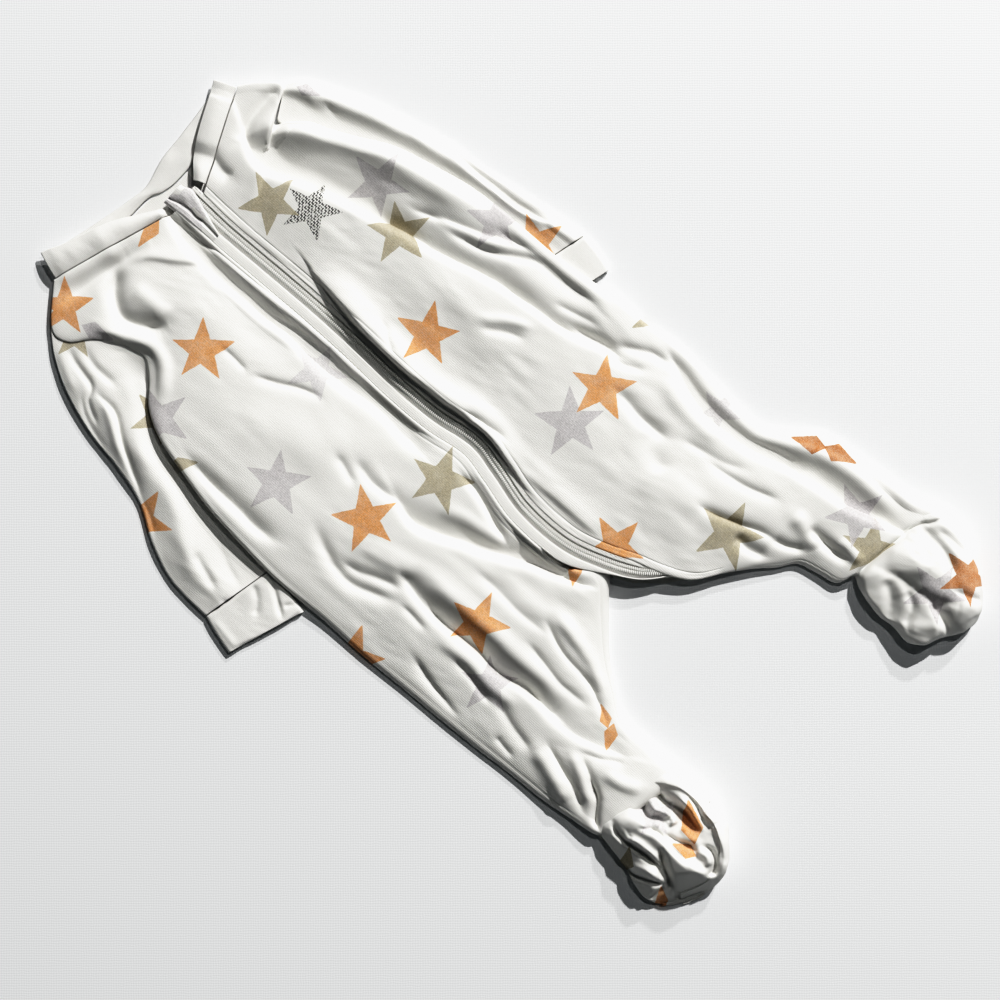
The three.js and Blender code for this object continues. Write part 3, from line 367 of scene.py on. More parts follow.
BACK_OUTLINE = np.array([
    (-88, 288), (-109, 271), (-109, 259), (-98, 249.5), (-91, 239), (-86, 228), (-85, 217),
    (-93, 205), (-104.5, 195), (-109, 183), (-111, 170), (-111, 156), (-112, 144), (-115, 130),
    (-120, 116), (-126, 98), (-130, 78), (-131, 61), (-131, 42), (-131, 20), (-131, -10),
    (-129, -45), (-127, -80), (-125, -110), (-123, -140), (-119, -170), (-62, -181),
    (-62, -160), (-63, -139), (-51, -123), (-42, -111), (-35, -100), (-25, -89), (-12, -80),
    (0, -74), (8, -89), (20, -103), (33, -113), (48, -124), (60, -132), (75, -145),
    (87, -154), (92, -167), (95, -179), (102, -186), (158, -197), (152, -180), (151, -152),
    (149, -130), (143, -111), (133, -99), (124, -85), (124, -66), (125, -45), (127, -18),
    (124, 10), (122, 40), (121, 49), (92, 56.5), (92, 60), (96.3, 84), (96.3, 104),
    (92.3, 134), (87.3, 160), (80.3, 186), (72.3, 206), (66.3, 222), (64.3, 238),
    (68.2, 255), (87, 266), (79, 276), (70, 284), (61, 284), (50, 279), (26, 275), (6, 274),
    (-6, 276), (-15, 280), (-34, 281), (-60, 284), (-72, 287),
], float)
# The back neckband from the right shoulder to the left: outer edge, then inner edge
BACK_BAND = np.array([
    (-71, 301, -71, 288), (-60, 298, -60, 285), (-41, 293, -34, 282), (-24, 289, -15, 281),
    (-10, 287, -6, 277), (8, 291, 6, 275), (25, 292, 26, 276), (48, 294, 50, 280),
    (59, 296, 61, 285),
], float)

FOOT_LEFT = {
    "centre": (127, -222),
    "outline": [
        (156, -191), (160.5, -201), (161, -216), (154, -230), (149, -240), (138, -252),
        (129, -256), (118, -255), (107, -248), (96, -242), (92, -233), (93, -222), (92, -211),
        (94, -200), (98, -189), (106, -181), (122, -184), (140, -188),
    ],
    "section": [
        (0.96, 0.6), (1.0, 2.5), (1.01, 7), (0.97, 13), (0.88, 18.5), (0.72, 22.5), (0.48, 24.5),
        (0.24, 25), (0.0, 25),
    ],
    "ankle": ((160, -195), (101, -183)),
    # slopes that the skin stays under: two photo pixels of a line, the height there, the rise inward
    "planes": [((862, 590), (905, 645), 13.0, 0.335)],
}
FOOT_RIGHT = {
    "centre": (-95, -209),
    "outline": [
        (-113, -162), (-98, -164), (-80, -168), (-66, -172), (-61, -184), (-60, -200),
        (-60, -218), (-66, -230), (-78, -241), (-94, -245), (-110, -241), (-122, -232),
        (-127, -219), (-122, -203), (-119, -187), (-117, -172),
    ],
    "section": [
        (0.96, 0.6), (1.0, 2.5), (1.01, 7), (0.98, 12), (0.91, 16.5), (0.76, 19.0), (0.5, 19.5),
        (0.24, 19.5), (0.0, 19.5),
    ],
    "ankle": ((-116, -171), (-61, -182)),
    "planes": [((648, 908), (722, 884), 2.5, 1.02), ((610, 850), (648, 904), 6.0, 1.1)],
}
FOOT_FOLDS = [
    (ANKLE_SEAM, 1.8, 2.4, -2.8, 1.5),
    # wearer's left foot: a stuffed bag with soft dents
    ([(916, 526), (930, 540), (941, 556), (948, 574)], 6, 8, -3.4, 1.8),
    ([(934, 530), (950, 544), (962, 554)], 5, 5, -1.8, 1.8),
    ([(876, 568), (894, 576), (912, 590), (930, 601), (950, 602)], 6, 5, -2.0, 1.7),
    ([(882, 578), (888, 598), (884, 622)], 8, 7, -2.6, 1.9),
    ([(902, 590), (908, 606), (902, 624)], 5, 5, -2.0, 1.8),
    ([(926, 602), (938, 618), (948, 638)], 8, 4, -4.6, 1.6),
    ([(948, 590), (962, 596), (976, 600)], 4, 3, -1.8, 1.6),
    ([(884, 548), (902, 556), (920, 574)], 10, 10, 1.8, 2.0),
    ([(904, 628), (918, 628), (934, 626)], 9, 9, 1.8, 2.0),
    ([(952, 606), (964, 610), (970, 618)], 9, 9, 1.6, 2.0),
    # wearer's right foot: the crease at the ankle and the rim round the opening
    ([(594, 780), (597, 798), (594, 815), (596, 830), (606, 846)], 2.6, 4, -7.0, 1.6),
    ([(628, 806), (634, 794), (643, 784), (654, 779), (668, 780), (682, 786), (696, 797), (706, 812),
      (716, 832), (722, 852), (718, 868)], 9, 3, 2.6, 1.8),
    # the opening and what is crumpled in it
    ([(634, 812), (644, 798), (656, 794), (670, 800), (682, 810), (690, 822)], 7, 7, -4.4, 2.2),
    ([(650, 816), (664, 812), (678, 820), (690, 834)], 12, 12, -3.6, 2.4),
    ([(641, 788), (641, 802), (648, 814), (658, 815)], 3.4, 3.4, -6.0, 1.7),
    ([(657, 790), (664, 800), (672, 804)], 3.4, 3.4, -5.5, 1.7),
    ([(668, 804), (680, 808), (690, 816), (697, 828)], 2.2, 2.6, -3.0, 1.6),
    ([(648, 796), (654, 806), (662, 806)], 4, 4, 4.0, 1.9),
    ([(660, 806), (668, 812), (672, 822)], 4.5, 4.5, 4.2, 1.9),
    ([(642, 818), (650, 816), (658, 822)], 3.4, 3.4, 3.0, 1.9),
    ([(667, 818), (672, 810)], 2.0, 2.0, -2.6, 1.7),
    ([(676, 794), (686, 804), (694, 816), (698, 828)], 4, 4, 3.2, 1.9),
    ([(680, 822), (686, 832), (694, 838)], 5, 5, 2.4, 1.9),
    ([(686, 792), (696, 804), (703, 822)], 1.8, 1.8, -2.6, 1.6),
    # the turned-back lip, its dark inner line and the loop at its end
    ([(612, 830), (618, 818), (630, 814), (644, 824), (660, 836), (676, 852), (694, 866), (712, 872),
      (722, 862)], 5, 13, 5.4, 1.8),
    ([(640, 824), (652, 826), (663, 836), (672, 846), (684, 858)], 2.4, 2.4, -5.0, 1.6),
    ([(662, 830), (676, 838), (688, 842), (694, 850)], 2.6, 2.6, -4.0, 1.6),
    ([(700, 842), (708, 846), (713, 856), (712, 868), (704, 870)], 2.2, 2.2, -4.4, 1.6),
    ([(694, 846), (704, 852), (706, 862)], 4, 4, 2.6, 1.9),
    ([(704, 826), (712, 820), (720, 818)], 1.6, 1.6, -1.0, 1.6),
    # below the lip
    ([(612, 820), (614, 828), (624, 838), (634, 845), (646, 853), (656, 862), (664, 876)],
     3, 2.4, -5.4, 1.6),
    ([(620, 836), (632, 836), (646, 846), (658, 858)], 4, 4, 2.6, 1.9),
    ([(658, 846), (662, 862), (667, 876), (668, 888)], 3.4, 3.0, -7.0, 1.6),
    ([(622, 862), (632, 872), (648, 878), (664, 880)], 2.6, 2.6, -4.6, 1.6),
    ([(630, 862), (644, 866), (656, 874)], 4, 4, 2.2, 1.9),
    ([(648, 898), (656, 890), (664, 882)], 2.4, 2.4, -2.6, 1.6),
    ([(668, 880), (674, 890), (678, 902)], 3, 3, -1.6, 1.8),
]
FOOT_SHAPE = {
    "cap": 12.6, "slope": 0.62,  # the height that the skin stays under at the ankle seam, and its rise
    "cap_round": 2.5, "plane_round": 1.5,
    "free": (1.0, 9.0),  # heights between which the folds come in
    "rumple": 1.1, "closer": 1.6,
    "uneven": 0.9, "uneven_round": 26, "uneven_up": 7,
}
ANKLE_BAND = {"from": 2, "to": 112, "first": 1.2, "last": 4.6, "out": 1.3}
SOLE_SIDES = 90
SOLE_HIGH = 1.2
SOLE_RINGS = (0.02, 0.3, 0.6, 0.92)

# Print: photo pixel of each star's middle, tip radius in pixels, direction of its longest arm in
# degrees, ink, whether it shows whole, hatched or by one arm, and the pieces that it is on
INKS = {
    "orange": (0.74, 0.385, 0.165),
    # painted shade: a darker copy of the orange ink, for stars on the left leg's edge and the left foot where
    # the orange is darkened by how light falls
    "orange_painted_shade": (0.52, 0.235, 0.085),
    "khaki": (0.48, 0.435, 0.325),
    "grey": (0.63, 0.61, 0.62),
    "faint": (0.72, 0.705, 0.71),
    "dash": (0.10, 0.10, 0.10),
}
SHAPES = {"whole": 1.0, "arm": 0.8, "hatch": 0.3}
STARS = [
    (273, 204, 35, 190, "khaki", "whole", "A", "front"),
    (313, 211, 33, 281, "dash", "hatch", "B", "front"),
    (380, 186, 36, 129, "grey", "whole", "B", "front"),
    (399, 234, 36, 312, "khaki", "whole", "A", "front"),
    (497, 224, 33, 159, "grey", "whole", "A", "front"),
    (535, 245, 33, 34, "orange", "whole", "A", "sleeve"),
    (429, 336, 36, 151, "orange", "whole", "A", "front"),
    (204, 352, 35, 15, "orange", "whole", "A", "front"),
    (66, 308, 32, 16, "orange", "whole", "A", "front sleeve"),
    (84, 326, 36, 336, "grey", "arm", "B", "front"),
    (161, 221, 35, 232, "orange", "arm", "A", "front"),
    (161, 419, 36, 325, "grey", "whole", "A", "front"),
    (160, 418, 31, 130, "khaki", "whole", "A", "sleeve"),
    (172, 466, 30, 8, "khaki", "arm", "B", "front"),
    (278, 482, 37, 297, "grey", "whole", "A", "front"),
    (318, 371, 33, 276, "faint", "whole", "A", "front"),
    (440, 480, 37, 357, "khaki", "whole", "A", "front"),
    (368, 519, 37, 173, "orange", "whole", "A", "front"),
    (601, 388, 37, 297, "orange", "whole", "A", "front"),
    (571, 424, 39, 165, "grey", "whole", "B", "front"),
    (728, 533, 39, 208, "khaki", "whole", "A", "front"),
    (615, 546, 34, 120, "orange", "whole", "A", "front welt"),
    (477, 622, 35, 352, "orange", "whole", "A", "front"),
    (488, 683, 33, 300, "grey", "whole", "A", "front"),
    (352, 658, 36, 72, "orange", "whole", "A", "front"),
    (607, 727, 26, 104, "orange", "arm", "A", "front"),
    (613, 722, 30, 254, "orange", "arm", "B", "front"),
    # these two stars take the orange ink darkened as painted shade
    (825, 449, 38, 163, "orange_painted_shade", "arm", "A", "front"),
    (822, 447, 38, 332, "orange_painted_shade", "arm", "B", "front"),
    (856, 515, 35, 184, "grey", "whole", "A", "front"),
    (868, 550, 33, 80, "khaki", "whole", "B", "front"),
    (718, 411, 24, 50, "faint", "whole", "B", "front"),
    (654, 318, 26, 205, "khaki", "arm", "B", "front"),
    (578, 556, 32, 258, "orange", "arm", "B", "front"),
    (930, 591, 34, 200, "grey", "whole", "B", "foot"),
    # this star takes the orange ink darkened as painted shade
    (962, 577, 32, 128, "orange_painted_shade", "whole", "A", "foot"),
    (141, 521, 36, 57, "orange", "whole", "A", "sleeve"),
    (77, 336, 26, 228, "khaki", "whole", "B", "sleeve"),
    (297, 88, 27, 338, "grey", "arm", "A", "sleeve"),
    (624, 872, 30, 82, "khaki", "arm", "A", "foot"),
    (662, 910, 28, 95, "orange", "arm", "A", "foot"),
    (692, 840, 46, 98, "orange", "arm", "A", "foot"),
    (694, 852, 28, 152, "orange", "arm", "B", "foot"),
    (652, 812, 26, 90, "faint", "whole", "B", "foot"),
    (188, 212, 44, 222, "faint", "whole", "A", "guard"),
]
FAR_STAR = (-900, -900, 30, 0, "grey", "whole")  # for a piece that has none in a layer
STAR_NOTCH = 0.41  # the inner radius as a share of the tip's
ARM_DIFFERENCE = 0.07  # how much the first arm is longer, and the ones opposite shorter
ARM_MEAN = 0.95
EDGE_ROUGH = 0.07
# Noise of the print: scale, detail and roughness
PRINT_NOISE = {
    "edge": (420.0, 3.0, 0.6),
    "speck": (1500.0, 2.0, 0.7),
    "wash": (130.0, 3.0, 0.6),
    "breaks": (900.0, 2.0, 0.6),
    "tone": (900.0, 4.0, 0.8),
}
HATCH = {"wiggle": 66.0, "sway": 1.5, "slant": 17.0, "rows": 60.0}
# The hidden sides' scattered print: cells in a metre, how far stars stray in them, radius in pixels
CELLS = {"scale": 15.0, "stray": 0.55, "radius": 34}
FULL_TURN = 6.28


def between(values, at):
    """Smooth value between table rows; values may hold several columns."""
    values = np.asarray(values, float)
    at = np.asarray(at, float)
    last = len(values) - 1
    i = np.clip(np.floor(at).astype(int), 0, last - 1)
    f = at - i
    if values.ndim > 1:
        f = f[..., None]
    p = [values[np.clip(i + k, 0, last)] for k in (-1, 0, 1, 2)]
    slope0 = (p[2] - p[0]) / 2
    slope1 = (p[3] - p[1]) / 2
    rise = p[2] - p[1]
    return p[1] + f * (slope0 + f * (3 * rise - 2 * slope0 - slope1 + f * (slope0 + slope1 - 2 * rise)))


def smoothstep(low, high, value):
    t = np.clip((value - low) / (high - low), 0, 1)
    return t * t * (3 - 2 * t)


def beside_path(path, x, y):
    """Each point's distance from a path, its distance to the path's left, and its share of the length."""
    away = np.full(x.shape, np.inf)
    side = np.zeros_like(x)
    along = np.zeros_like(x)
    steps = np.hypot(*np.diff(path, axis=0).T)
    length = steps.sum()
    done = 0.0
    for (x0, y0), (x1, y1), step in zip(path[:-1], path[1:], steps):
        dx, dy = x1 - x0, y1 - y0
        near = np.clip(((x - x0) * dx + (y - y0) * dy) / step**2, 0, 1)
        gap = np.hypot(x - x0 - near * dx, y - y0 - near * dy)
        cross = (dx * (y - y0) - dy * (x - x0)) / step
        closer = gap < away
        away = np.where(closer, gap, away)
        side = np.where(closer, cross, side)
        along = np.where(closer, (done + near * step) / length, along)
        done += step
    return away, side, along


def fold_height(folds, x, y):
    """The height that a table of folds adds at each point; each fold fades at its two ends."""
    total = np.zeros_like(x)
    fade_from, fade_to = FOLD_FADE
    for pixels, left, right, rise, sharp in folds:
        path = fold_path(pixels)
        reach = FOLD_REACH * PIXEL * max(left, right)
        low, high = path.min(axis=0) - reach, path.max(axis=0) + reach
        near_path = (x > low[0]) & (x < high[0]) & (y > low[1]) & (y < high[1])
        if not near_path.any():
            continue
        away, side, along = beside_path(path, x[near_path], y[near_path])
        share = 0.5 + 0.5 * np.tanh(side / FOLD_SIDES)
        width = PIXEL * (left * share + right * (1 - share))
        fade = smoothstep(fade_from, fade_to, along) * smoothstep(1 - fade_from, 1 - fade_to, along)
        rounded = np.hypot(away, FOLD_ROUND)
        total[near_path] += FOLD_STRENGTH * rise * fade * np.exp(-((rounded / width) ** sharp))
    return total


FOLD_PATHS = {}


def fold_path(pixels):
    """A fold's path in drawing millimetres, smoothed between its points."""
    key = tuple(pixels)
    if key not in FOLD_PATHS:
        points = np.array([from_photo(px, py) for px, py in pixels])
        FOLD_PATHS[key] = between(points, np.linspace(0, len(points) - 1, 3 * len(points)))
    return FOLD_PATHS[key]


def lattice(x, y, seed):
    """Smooth noise from -1 to 1 on a unit lattice."""
    rng = np.random.default_rng(seed)
    table = rng.uniform(-1, 1, (64, 64))
    i, j = np.floor(x).astype(int), np.floor(y).astype(int)
    fx, fy = x - i, y - j
    fx, fy = fx * fx * (3 - 2 * fx), fy * fy * (3 - 2 * fy)
    a, b = table[i % 64, j % 64], table[(i + 1) % 64, j % 64]
    c, d = table[i % 64, (j + 1) % 64], table[(i + 1) % 64, (j + 1) % 64]
    return (a * (1 - fx) + b * fx) * (1 - fy) + (c * (1 - fx) + d * fx) * fy


def rumple(x, y, seed):
    """The small uneven rise and fall of worn jersey, longer down the body than across it."""
    bend_x = x + 5 * lattice(x / 34, y / 46, seed + 7)
    bend_y = y + 8 * lattice(x / 40, y / 50, seed + 8)
    wide = lattice(bend_x / 13, bend_y / 34, seed)
    slim = lattice(bend_x / 6.0, bend_y / 17, seed + 1)
    fine = lattice((bend_x + 0.4 * bend_y) / 3.4, (bend_y - 0.4 * bend_x) / 8.5, seed + 2)
    where = 0.55 + 0.45 * lattice(x / 45, y / 45, seed + 3)
    return 0.45 * wide + where * (0.42 * slim + 0.17 * fine)


class Curve:
    """A smooth line through points, read by its length."""

    def __init__(self, points, closed=False):
        points = np.asarray(points, float)
        if closed:
            ring = np.concatenate([points[-2:], points, points[:3]])
            samples = between(ring, np.linspace(2, 2 + len(points), 40 * len(points) + 1))
        else:
            samples = between(points, np.linspace(0, len(points) - 1, 60 * len(points)))
        steps = np.linalg.norm(np.diff(samples, axis=0), axis=1)
        self.at = np.concatenate([[0], np.cumsum(steps)])
        self.samples = samples
        self.length = self.at[-1]

    def point(self, along):
        return np.stack([np.interp(along, self.at, column) for column in self.samples.T], axis=-1)

    def tangent(self, along):
        step = 0.6
        gap = self.point(np.minimum(along + step, self.length)) - self.point(np.maximum(along - step, 0))
        return gap / np.linalg.norm(gap[..., :2], axis=-1, keepdims=True)


zip_curve = Curve(ZIP)


def zip_point(along, across, rise=0.0):
    """A point at a length down the zip, a distance across it and a rise over its face."""
    along = np.asarray(along, float)
    inside = np.clip(along, 0, zip_curve.length)
    p = zip_curve.point(inside)
    tangent = zip_curve.tangent(inside)
    beyond = along - inside
    p[..., 0] += -tangent[..., 1] * across + tangent[..., 0] * beyond
    p[..., 1] += tangent[..., 0] * across + tangent[..., 1] * beyond
    p[..., 2] += rise
    return p


def along_at(px, py):
    """The length down the zip of its point nearest a photo pixel."""
    spot = np.array(from_photo(px, py))
    return float(zip_curve.at[np.linalg.norm(zip_curve.samples[:, :2] - spot, axis=1).argmin()])


# Down the left leg the lower welt turns under, then the leg's cloth rolls over the whole zip
WELT_GONE = (along_at(560, 548), along_at(630, 578))
ZIP_UNDER = (along_at(622, 574), along_at(700, 572))
SINK = 3.0  # how far the zip lies lower there
ROLLED_OVER = 12.5  # how far the leg's cloth reaches over it


def covered(along):
    return smoothstep(*ZIP_UNDER, np.asarray(along, float))


# Mesh making
def add_object(name, mesh, material, nodes=(), smooth=True):
    obj = bpy.data.objects.new(name, mesh)
    bpy.context.scene.collection.objects.link(obj)
    if smooth:
        mesh.polygons.foreach_set("use_smooth", np.ones(len(mesh.polygons), bool))
    mesh.materials.append(material)
    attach(obj, "root")
    if nodes:
        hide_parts(*nodes)
    return obj


def mesh_from(name, points, faces):
    """A mesh from drawing millimetres."""
    points = np.asarray(points, float).reshape(-1, 3)
    placed = (points + (SHIFT_X, SHIFT_Y, 0)) * MM
    mesh = bpy.data.meshes.new(name)
    mesh.from_pydata(placed.tolist(), [], faces.tolist() if hasattr(faces, "tolist") else faces)
    mesh.update()
    return mesh


def grid_faces(rows, columns, wrap=False):
    r = np.arange(rows - 1)[:, None]
    c = np.arange(columns if wrap else columns - 1)[None, :]
    a = r * columns + c
    b = r * columns + (c + 1) % columns
    return np.stack([a, b, b + columns, a + columns], axis=-1).reshape(-1, 4)


def grid_mesh(name, points, wrap=False, flip=False):
    rows, columns = points.shape[:2]
    faces = grid_faces(rows, columns, wrap)
    if flip:
        faces = faces[:, ::-1]
    return mesh_from(name, points, faces)


def face_up(mesh, middle=False):
    """Turns a mesh over if its first face, or the one halfway through its list, looks down."""
    face = mesh.polygons[len(mesh.polygons) // 2 if middle else 0]
    if face.normal.z < 0:
        mesh.flip_normals()


def thicken(obj, thick):
    wall = obj.modifiers.new("wall", "SOLIDIFY")
    wall.thickness = thick * MM
    wall.offset = -1
    wall.use_quality_normals = True
    return obj


def cloth_area(points, wrap=False):
    """Area of a grid of points in square metres: half the cross product of each face's diagonals."""
    if wrap:
        points = np.concatenate([points, points[:, :1]], axis=1)
    a = points[1:, 1:] - points[:-1, :-1]
    b = points[1:, :-1] - points[:-1, 1:]
    return float(np.linalg.norm(np.cross(a, b), axis=-1).sum()) / 2 * MM * MM


def print_stars(mesh, piece):
    """Gives each face the nearest star of each layer: UV maps hold the place in the star, colours its ink."""
    corner = np.empty(len(mesh.loops), int)
    mesh.loops.foreach_get("vertex_index", corner)
    place = np.empty(len(mesh.vertices) * 3)
    mesh.vertices.foreach_get("co", place)
    place = place.reshape(-1, 3)[:, :2] / MM - (SHIFT_X, SHIFT_Y)
    total = np.empty(len(mesh.polygons), int)
    mesh.polygons.foreach_get("loop_total", total)
    first = np.concatenate([[0], np.cumsum(total)[:-1]])
    centres = np.add.reduceat(place[corner], first) / total[:, None]
    owner = np.repeat(np.arange(len(total)), total)
    for layer in ("A", "B"):
        rows = [row for row in STARS if row[6] == layer and piece in row[7].split()] or [FAR_STAR]
        spots = np.array([from_photo(row[0], row[1]) for row in rows])
        away = np.linalg.norm(centres[:, None, :] - spots[None], axis=-1)
        nearest = away.argmin(axis=1)[owner]
        size = np.array([row[2] * PIXEL for row in rows])[nearest]
        # an arm's direction is given in the photograph, whose right is turned from the garment's X
        turn = np.array([math.radians(row[3]) - (math.pi / 2 - TURN) for row in rows])[nearest]
        offset = place[corner] - spots[nearest]
        u = (offset[:, 0] * np.cos(turn) + offset[:, 1] * np.sin(turn)) / size
        v = (-offset[:, 0] * np.sin(turn) + offset[:, 1] * np.cos(turn)) / size
        uv = mesh.uv_layers.new(name="Star" + layer)
        uv.data.foreach_set("uv", np.stack([u, v], axis=-1).ravel())
        ink = mesh.color_attributes.new(name="Ink" + layer, type="FLOAT_COLOR", domain="CORNER")
        inks = np.array([INKS[row[4]] + (SHAPES[row[5]],) for row in rows])
        ink.data.foreach_set("color", inks[nearest].ravel())


# Materials
class Net:
    """Short calls that add shader nodes and link them."""

    def __init__(self, tree):
        self.tree = tree

    def node(self, kind, inputs=None, **settings):
        made = self.tree.nodes.new(kind)
        for key, value in settings.items():
            setattr(made, key, value)
        for key, value in (inputs or {}).items():
            if isinstance(value, bpy.types.NodeSocket):
                self.tree.links.new(value, made.inputs[key])
            else:
                made.inputs[key].default_value = value
        return made

    def math(self, operation, a, b=0.0, c=0.0):
        return self.node("ShaderNodeMath", {0: a, 1: b, 2: c}, operation=operation).outputs[0]

    def ramp(self, value, low, high, to_low=0.0, to_high=1.0):
        made = self.node(
            "ShaderNodeMapRange",
            {"Value": value, "From Min": low, "From Max": high, "To Min": to_low, "To Max": to_high},
            interpolation_type="SMOOTHSTEP",
        )
        return made.outputs["Result"]

    def noise(self, vector, scale, detail=2.0, rough=0.5):
        made = self.node(
            "ShaderNodeTexNoise",
            {"Vector": vector, "Scale": scale, "Detail": detail, "Roughness": rough},
        )
        return made.outputs["Fac"]

    def vector(self, operation, a, b):
        return self.node("ShaderNodeVectorMath", {0: a, 1: b}, operation=operation).outputs[0]

    def scaled(self, vector, factor):
        made = self.node("ShaderNodeVectorMath", {0: vector, "Scale": factor}, operation="SCALE")
        return made.outputs[0]

    def mix(self, factor, a, b):
        return self.node("ShaderNodeMix", {"Factor": factor, 6: a, 7: b}, data_type="RGBA").outputs[2]

    def bump(self, shader, height, strength, distance):
        made = self.node("ShaderNodeBump", {"Strength": strength, "Distance": distance, "Height": height})
        self.tree.links.new(made.outputs[0], shader.inputs["Normal"])


def star_group():
    """Mask and ink of one star: five slim arms whose edge is a formula of the angle."""
    group = bpy.data.node_groups.new("star", "ShaderNodeTree")
    for name, way, kind in (
        ("Place", "INPUT", "NodeSocketVector"),
        ("Ink", "INPUT", "NodeSocketColor"),
        ("Style", "INPUT", "NodeSocketFloat"),
        ("Mask", "OUTPUT", "NodeSocketFloat"),
        ("Colour", "OUTPUT", "NodeSocketColor"),
    ):
        group.interface.new_socket(name, in_out=way, socket_type=kind)
    net = Net(group)
    source = net.node("NodeGroupInput")
    cloth = net.node("ShaderNodeTexCoord").outputs["Object"]
    noise = {name: net.noise(cloth, *settings) for name, settings in PRINT_NOISE.items()}
    parts = net.node("ShaderNodeSeparateXYZ", {0: source.outputs["Place"]})
    u, v = parts.outputs[0], parts.outputs[1]
    radius = net.math("SQRT", net.math("ADD", net.math("MULTIPLY", u, u), net.math("MULTIPLY", v, v)))
    angle = net.math("ARCTAN2", v, u)
    half_arm = math.radians(36)
    fold = net.math("PINGPONG", angle, half_arm)
    lower = net.math("MULTIPLY", net.math("SINE", net.math("SUBTRACT", half_arm, fold)), STAR_NOTCH)
    edge = net.math("DIVIDE", STAR_NOTCH * math.sin(half_arm), net.math("ADD", net.math("SINE", fold), lower))
    longer = net.math("MULTIPLY_ADD", net.math("COSINE", angle), ARM_DIFFERENCE, ARM_MEAN)
    edge = net.math("MULTIPLY", edge, longer)
    rough = net.math("MULTIPLY", net.math("SUBTRACT", noise["edge"], 0.5), EDGE_ROUGH)
    edge = net.math("ADD", edge, rough)
    body = net.ramp(net.math("SUBTRACT", edge, radius), -0.012, 0.02)
    tip = net.ramp(radius, 0.99, 0.93)
    mask = net.math("MULTIPLY", body, tip)
    # a star that shows by one arm keeps the arm at angle zero
    beside = net.math("GREATER_THAN", net.math("ABSOLUTE", angle), half_arm)
    single = net.math("COMPARE", source.outputs["Style"], SHAPES["arm"], 0.04)
    mask = net.math("MULTIPLY", mask, net.math("SUBTRACT", 1.0, net.math("MULTIPLY", beside, single)))
    # speckled ink that covers nearly all
    speck = net.ramp(noise["speck"], 0.34, 0.62)
    wash = net.ramp(noise["wash"], 0.3, 0.7, 0.86, 1.0)
    cover = net.math("MULTIPLY", wash, net.math("MULTIPLY_ADD", speck, 0.20, 0.80))
    # rows of short dark zigzag strokes, for the hatched ink
    wiggle = net.math("SINE", net.math("MULTIPLY", u, HATCH["wiggle"]))
    wiggle = net.math("MULTIPLY", wiggle, HATCH["sway"])
    slant = net.math("MULTIPLY_ADD", u, HATCH["slant"], net.math("MULTIPLY", v, HATCH["rows"]))
    strokes = net.ramp(net.math("SINE", net.math("ADD", slant, wiggle)), -0.55, 0.05)
    strokes = net.math("MULTIPLY", strokes, net.ramp(noise["breaks"], 0.36, 0.46))
    hatched = net.math("LESS_THAN", source.outputs["Style"], 0.6)
    cover = net.node("ShaderNodeMix", {0: hatched, 2: cover, 3: strokes}, data_type="FLOAT").outputs[0]
    tone = net.ramp(noise["tone"], 0.25, 0.75, 0.74, 1.16)
    ink = net.scaled(source.outputs["Ink"], tone)
    net.node("NodeGroupOutput", {"Mask": net.math("MULTIPLY", mask, cover), "Colour": ink})
    return group


STAR_GROUP = star_group()
WHITE = (0.86, 0.855, 0.83, 1.0)
FLECK = (0.55, 0.55, 0.54, 1.0)


def stamped(net, colour, place, ink, style):
    """The colour with a star of the print over it."""
    star = net.node("ShaderNodeGroup", {"Place": place, "Ink": ink, "Style": style}, node_tree=STAR_GROUP)
    return net.mix(star.outputs["Mask"], colour, star.outputs["Colour"])


def print_cells(net, colour, place):
    """A scattered star in every cell of a hidden side."""
    cell = net.node(
        "ShaderNodeTexVoronoi",
        {"Vector": place, "Scale": CELLS["scale"], "Randomness": CELLS["stray"]},
        voronoi_dimensions="2D",
    )
    spot = net.vector("MULTIPLY", cell.outputs["Position"], (1, 1, 0))
    offset = net.scaled(net.vector("SUBTRACT", place, spot), 1 / (CELLS["radius"] * PIXEL * MM))
    chance = net.node("ShaderNodeSeparateColor", {0: cell.outputs["Color"]})
    angle = net.math("MULTIPLY", chance.outputs[0], FULL_TURN)
    spun = net.node("ShaderNodeVectorRotate", {"Vector": offset, "Angle": angle}, rotation_type="Z_AXIS")
    ink = INKS["orange"] + (1.0,)
    for name, share in (("khaki", 0.36), ("grey", 0.66)):
        ink = net.mix(net.math("GREATER_THAN", chance.outputs[1], share), ink, INKS[name] + (1.0,))
    return stamped(net, colour, spun.outputs[0], ink, SHAPES["whole"])


def print_layers(net, colour):
    """The stars that print_stars gave the mesh, the lower layer first."""
    for layer in ("B", "A"):
        spot = net.node("ShaderNodeUVMap", uv_map="Star" + layer)
        ink = net.node("ShaderNodeAttribute", attribute_name="Ink" + layer)
        colour = stamped(net, colour, spot.outputs[0], ink.outputs["Color"], ink.outputs["Alpha"])
    return colour


def new_material(name, settings):
    """A material whose shader has these settings, with its node calls and its place on the object."""
    material = bpy.data.materials.new(name)
    material.use_nodes = True
    net = Net(material.node_tree)
    shader = material.node_tree.nodes["Principled BSDF"]
    for key, value in settings.items():
        shader.inputs[key].default_value = value
    return material, net, shader, net.node("ShaderNodeTexCoord").outputs["Object"]


def darker(tint, share):
    return tuple(c * share for c in tint[:3]) + (1.0,)


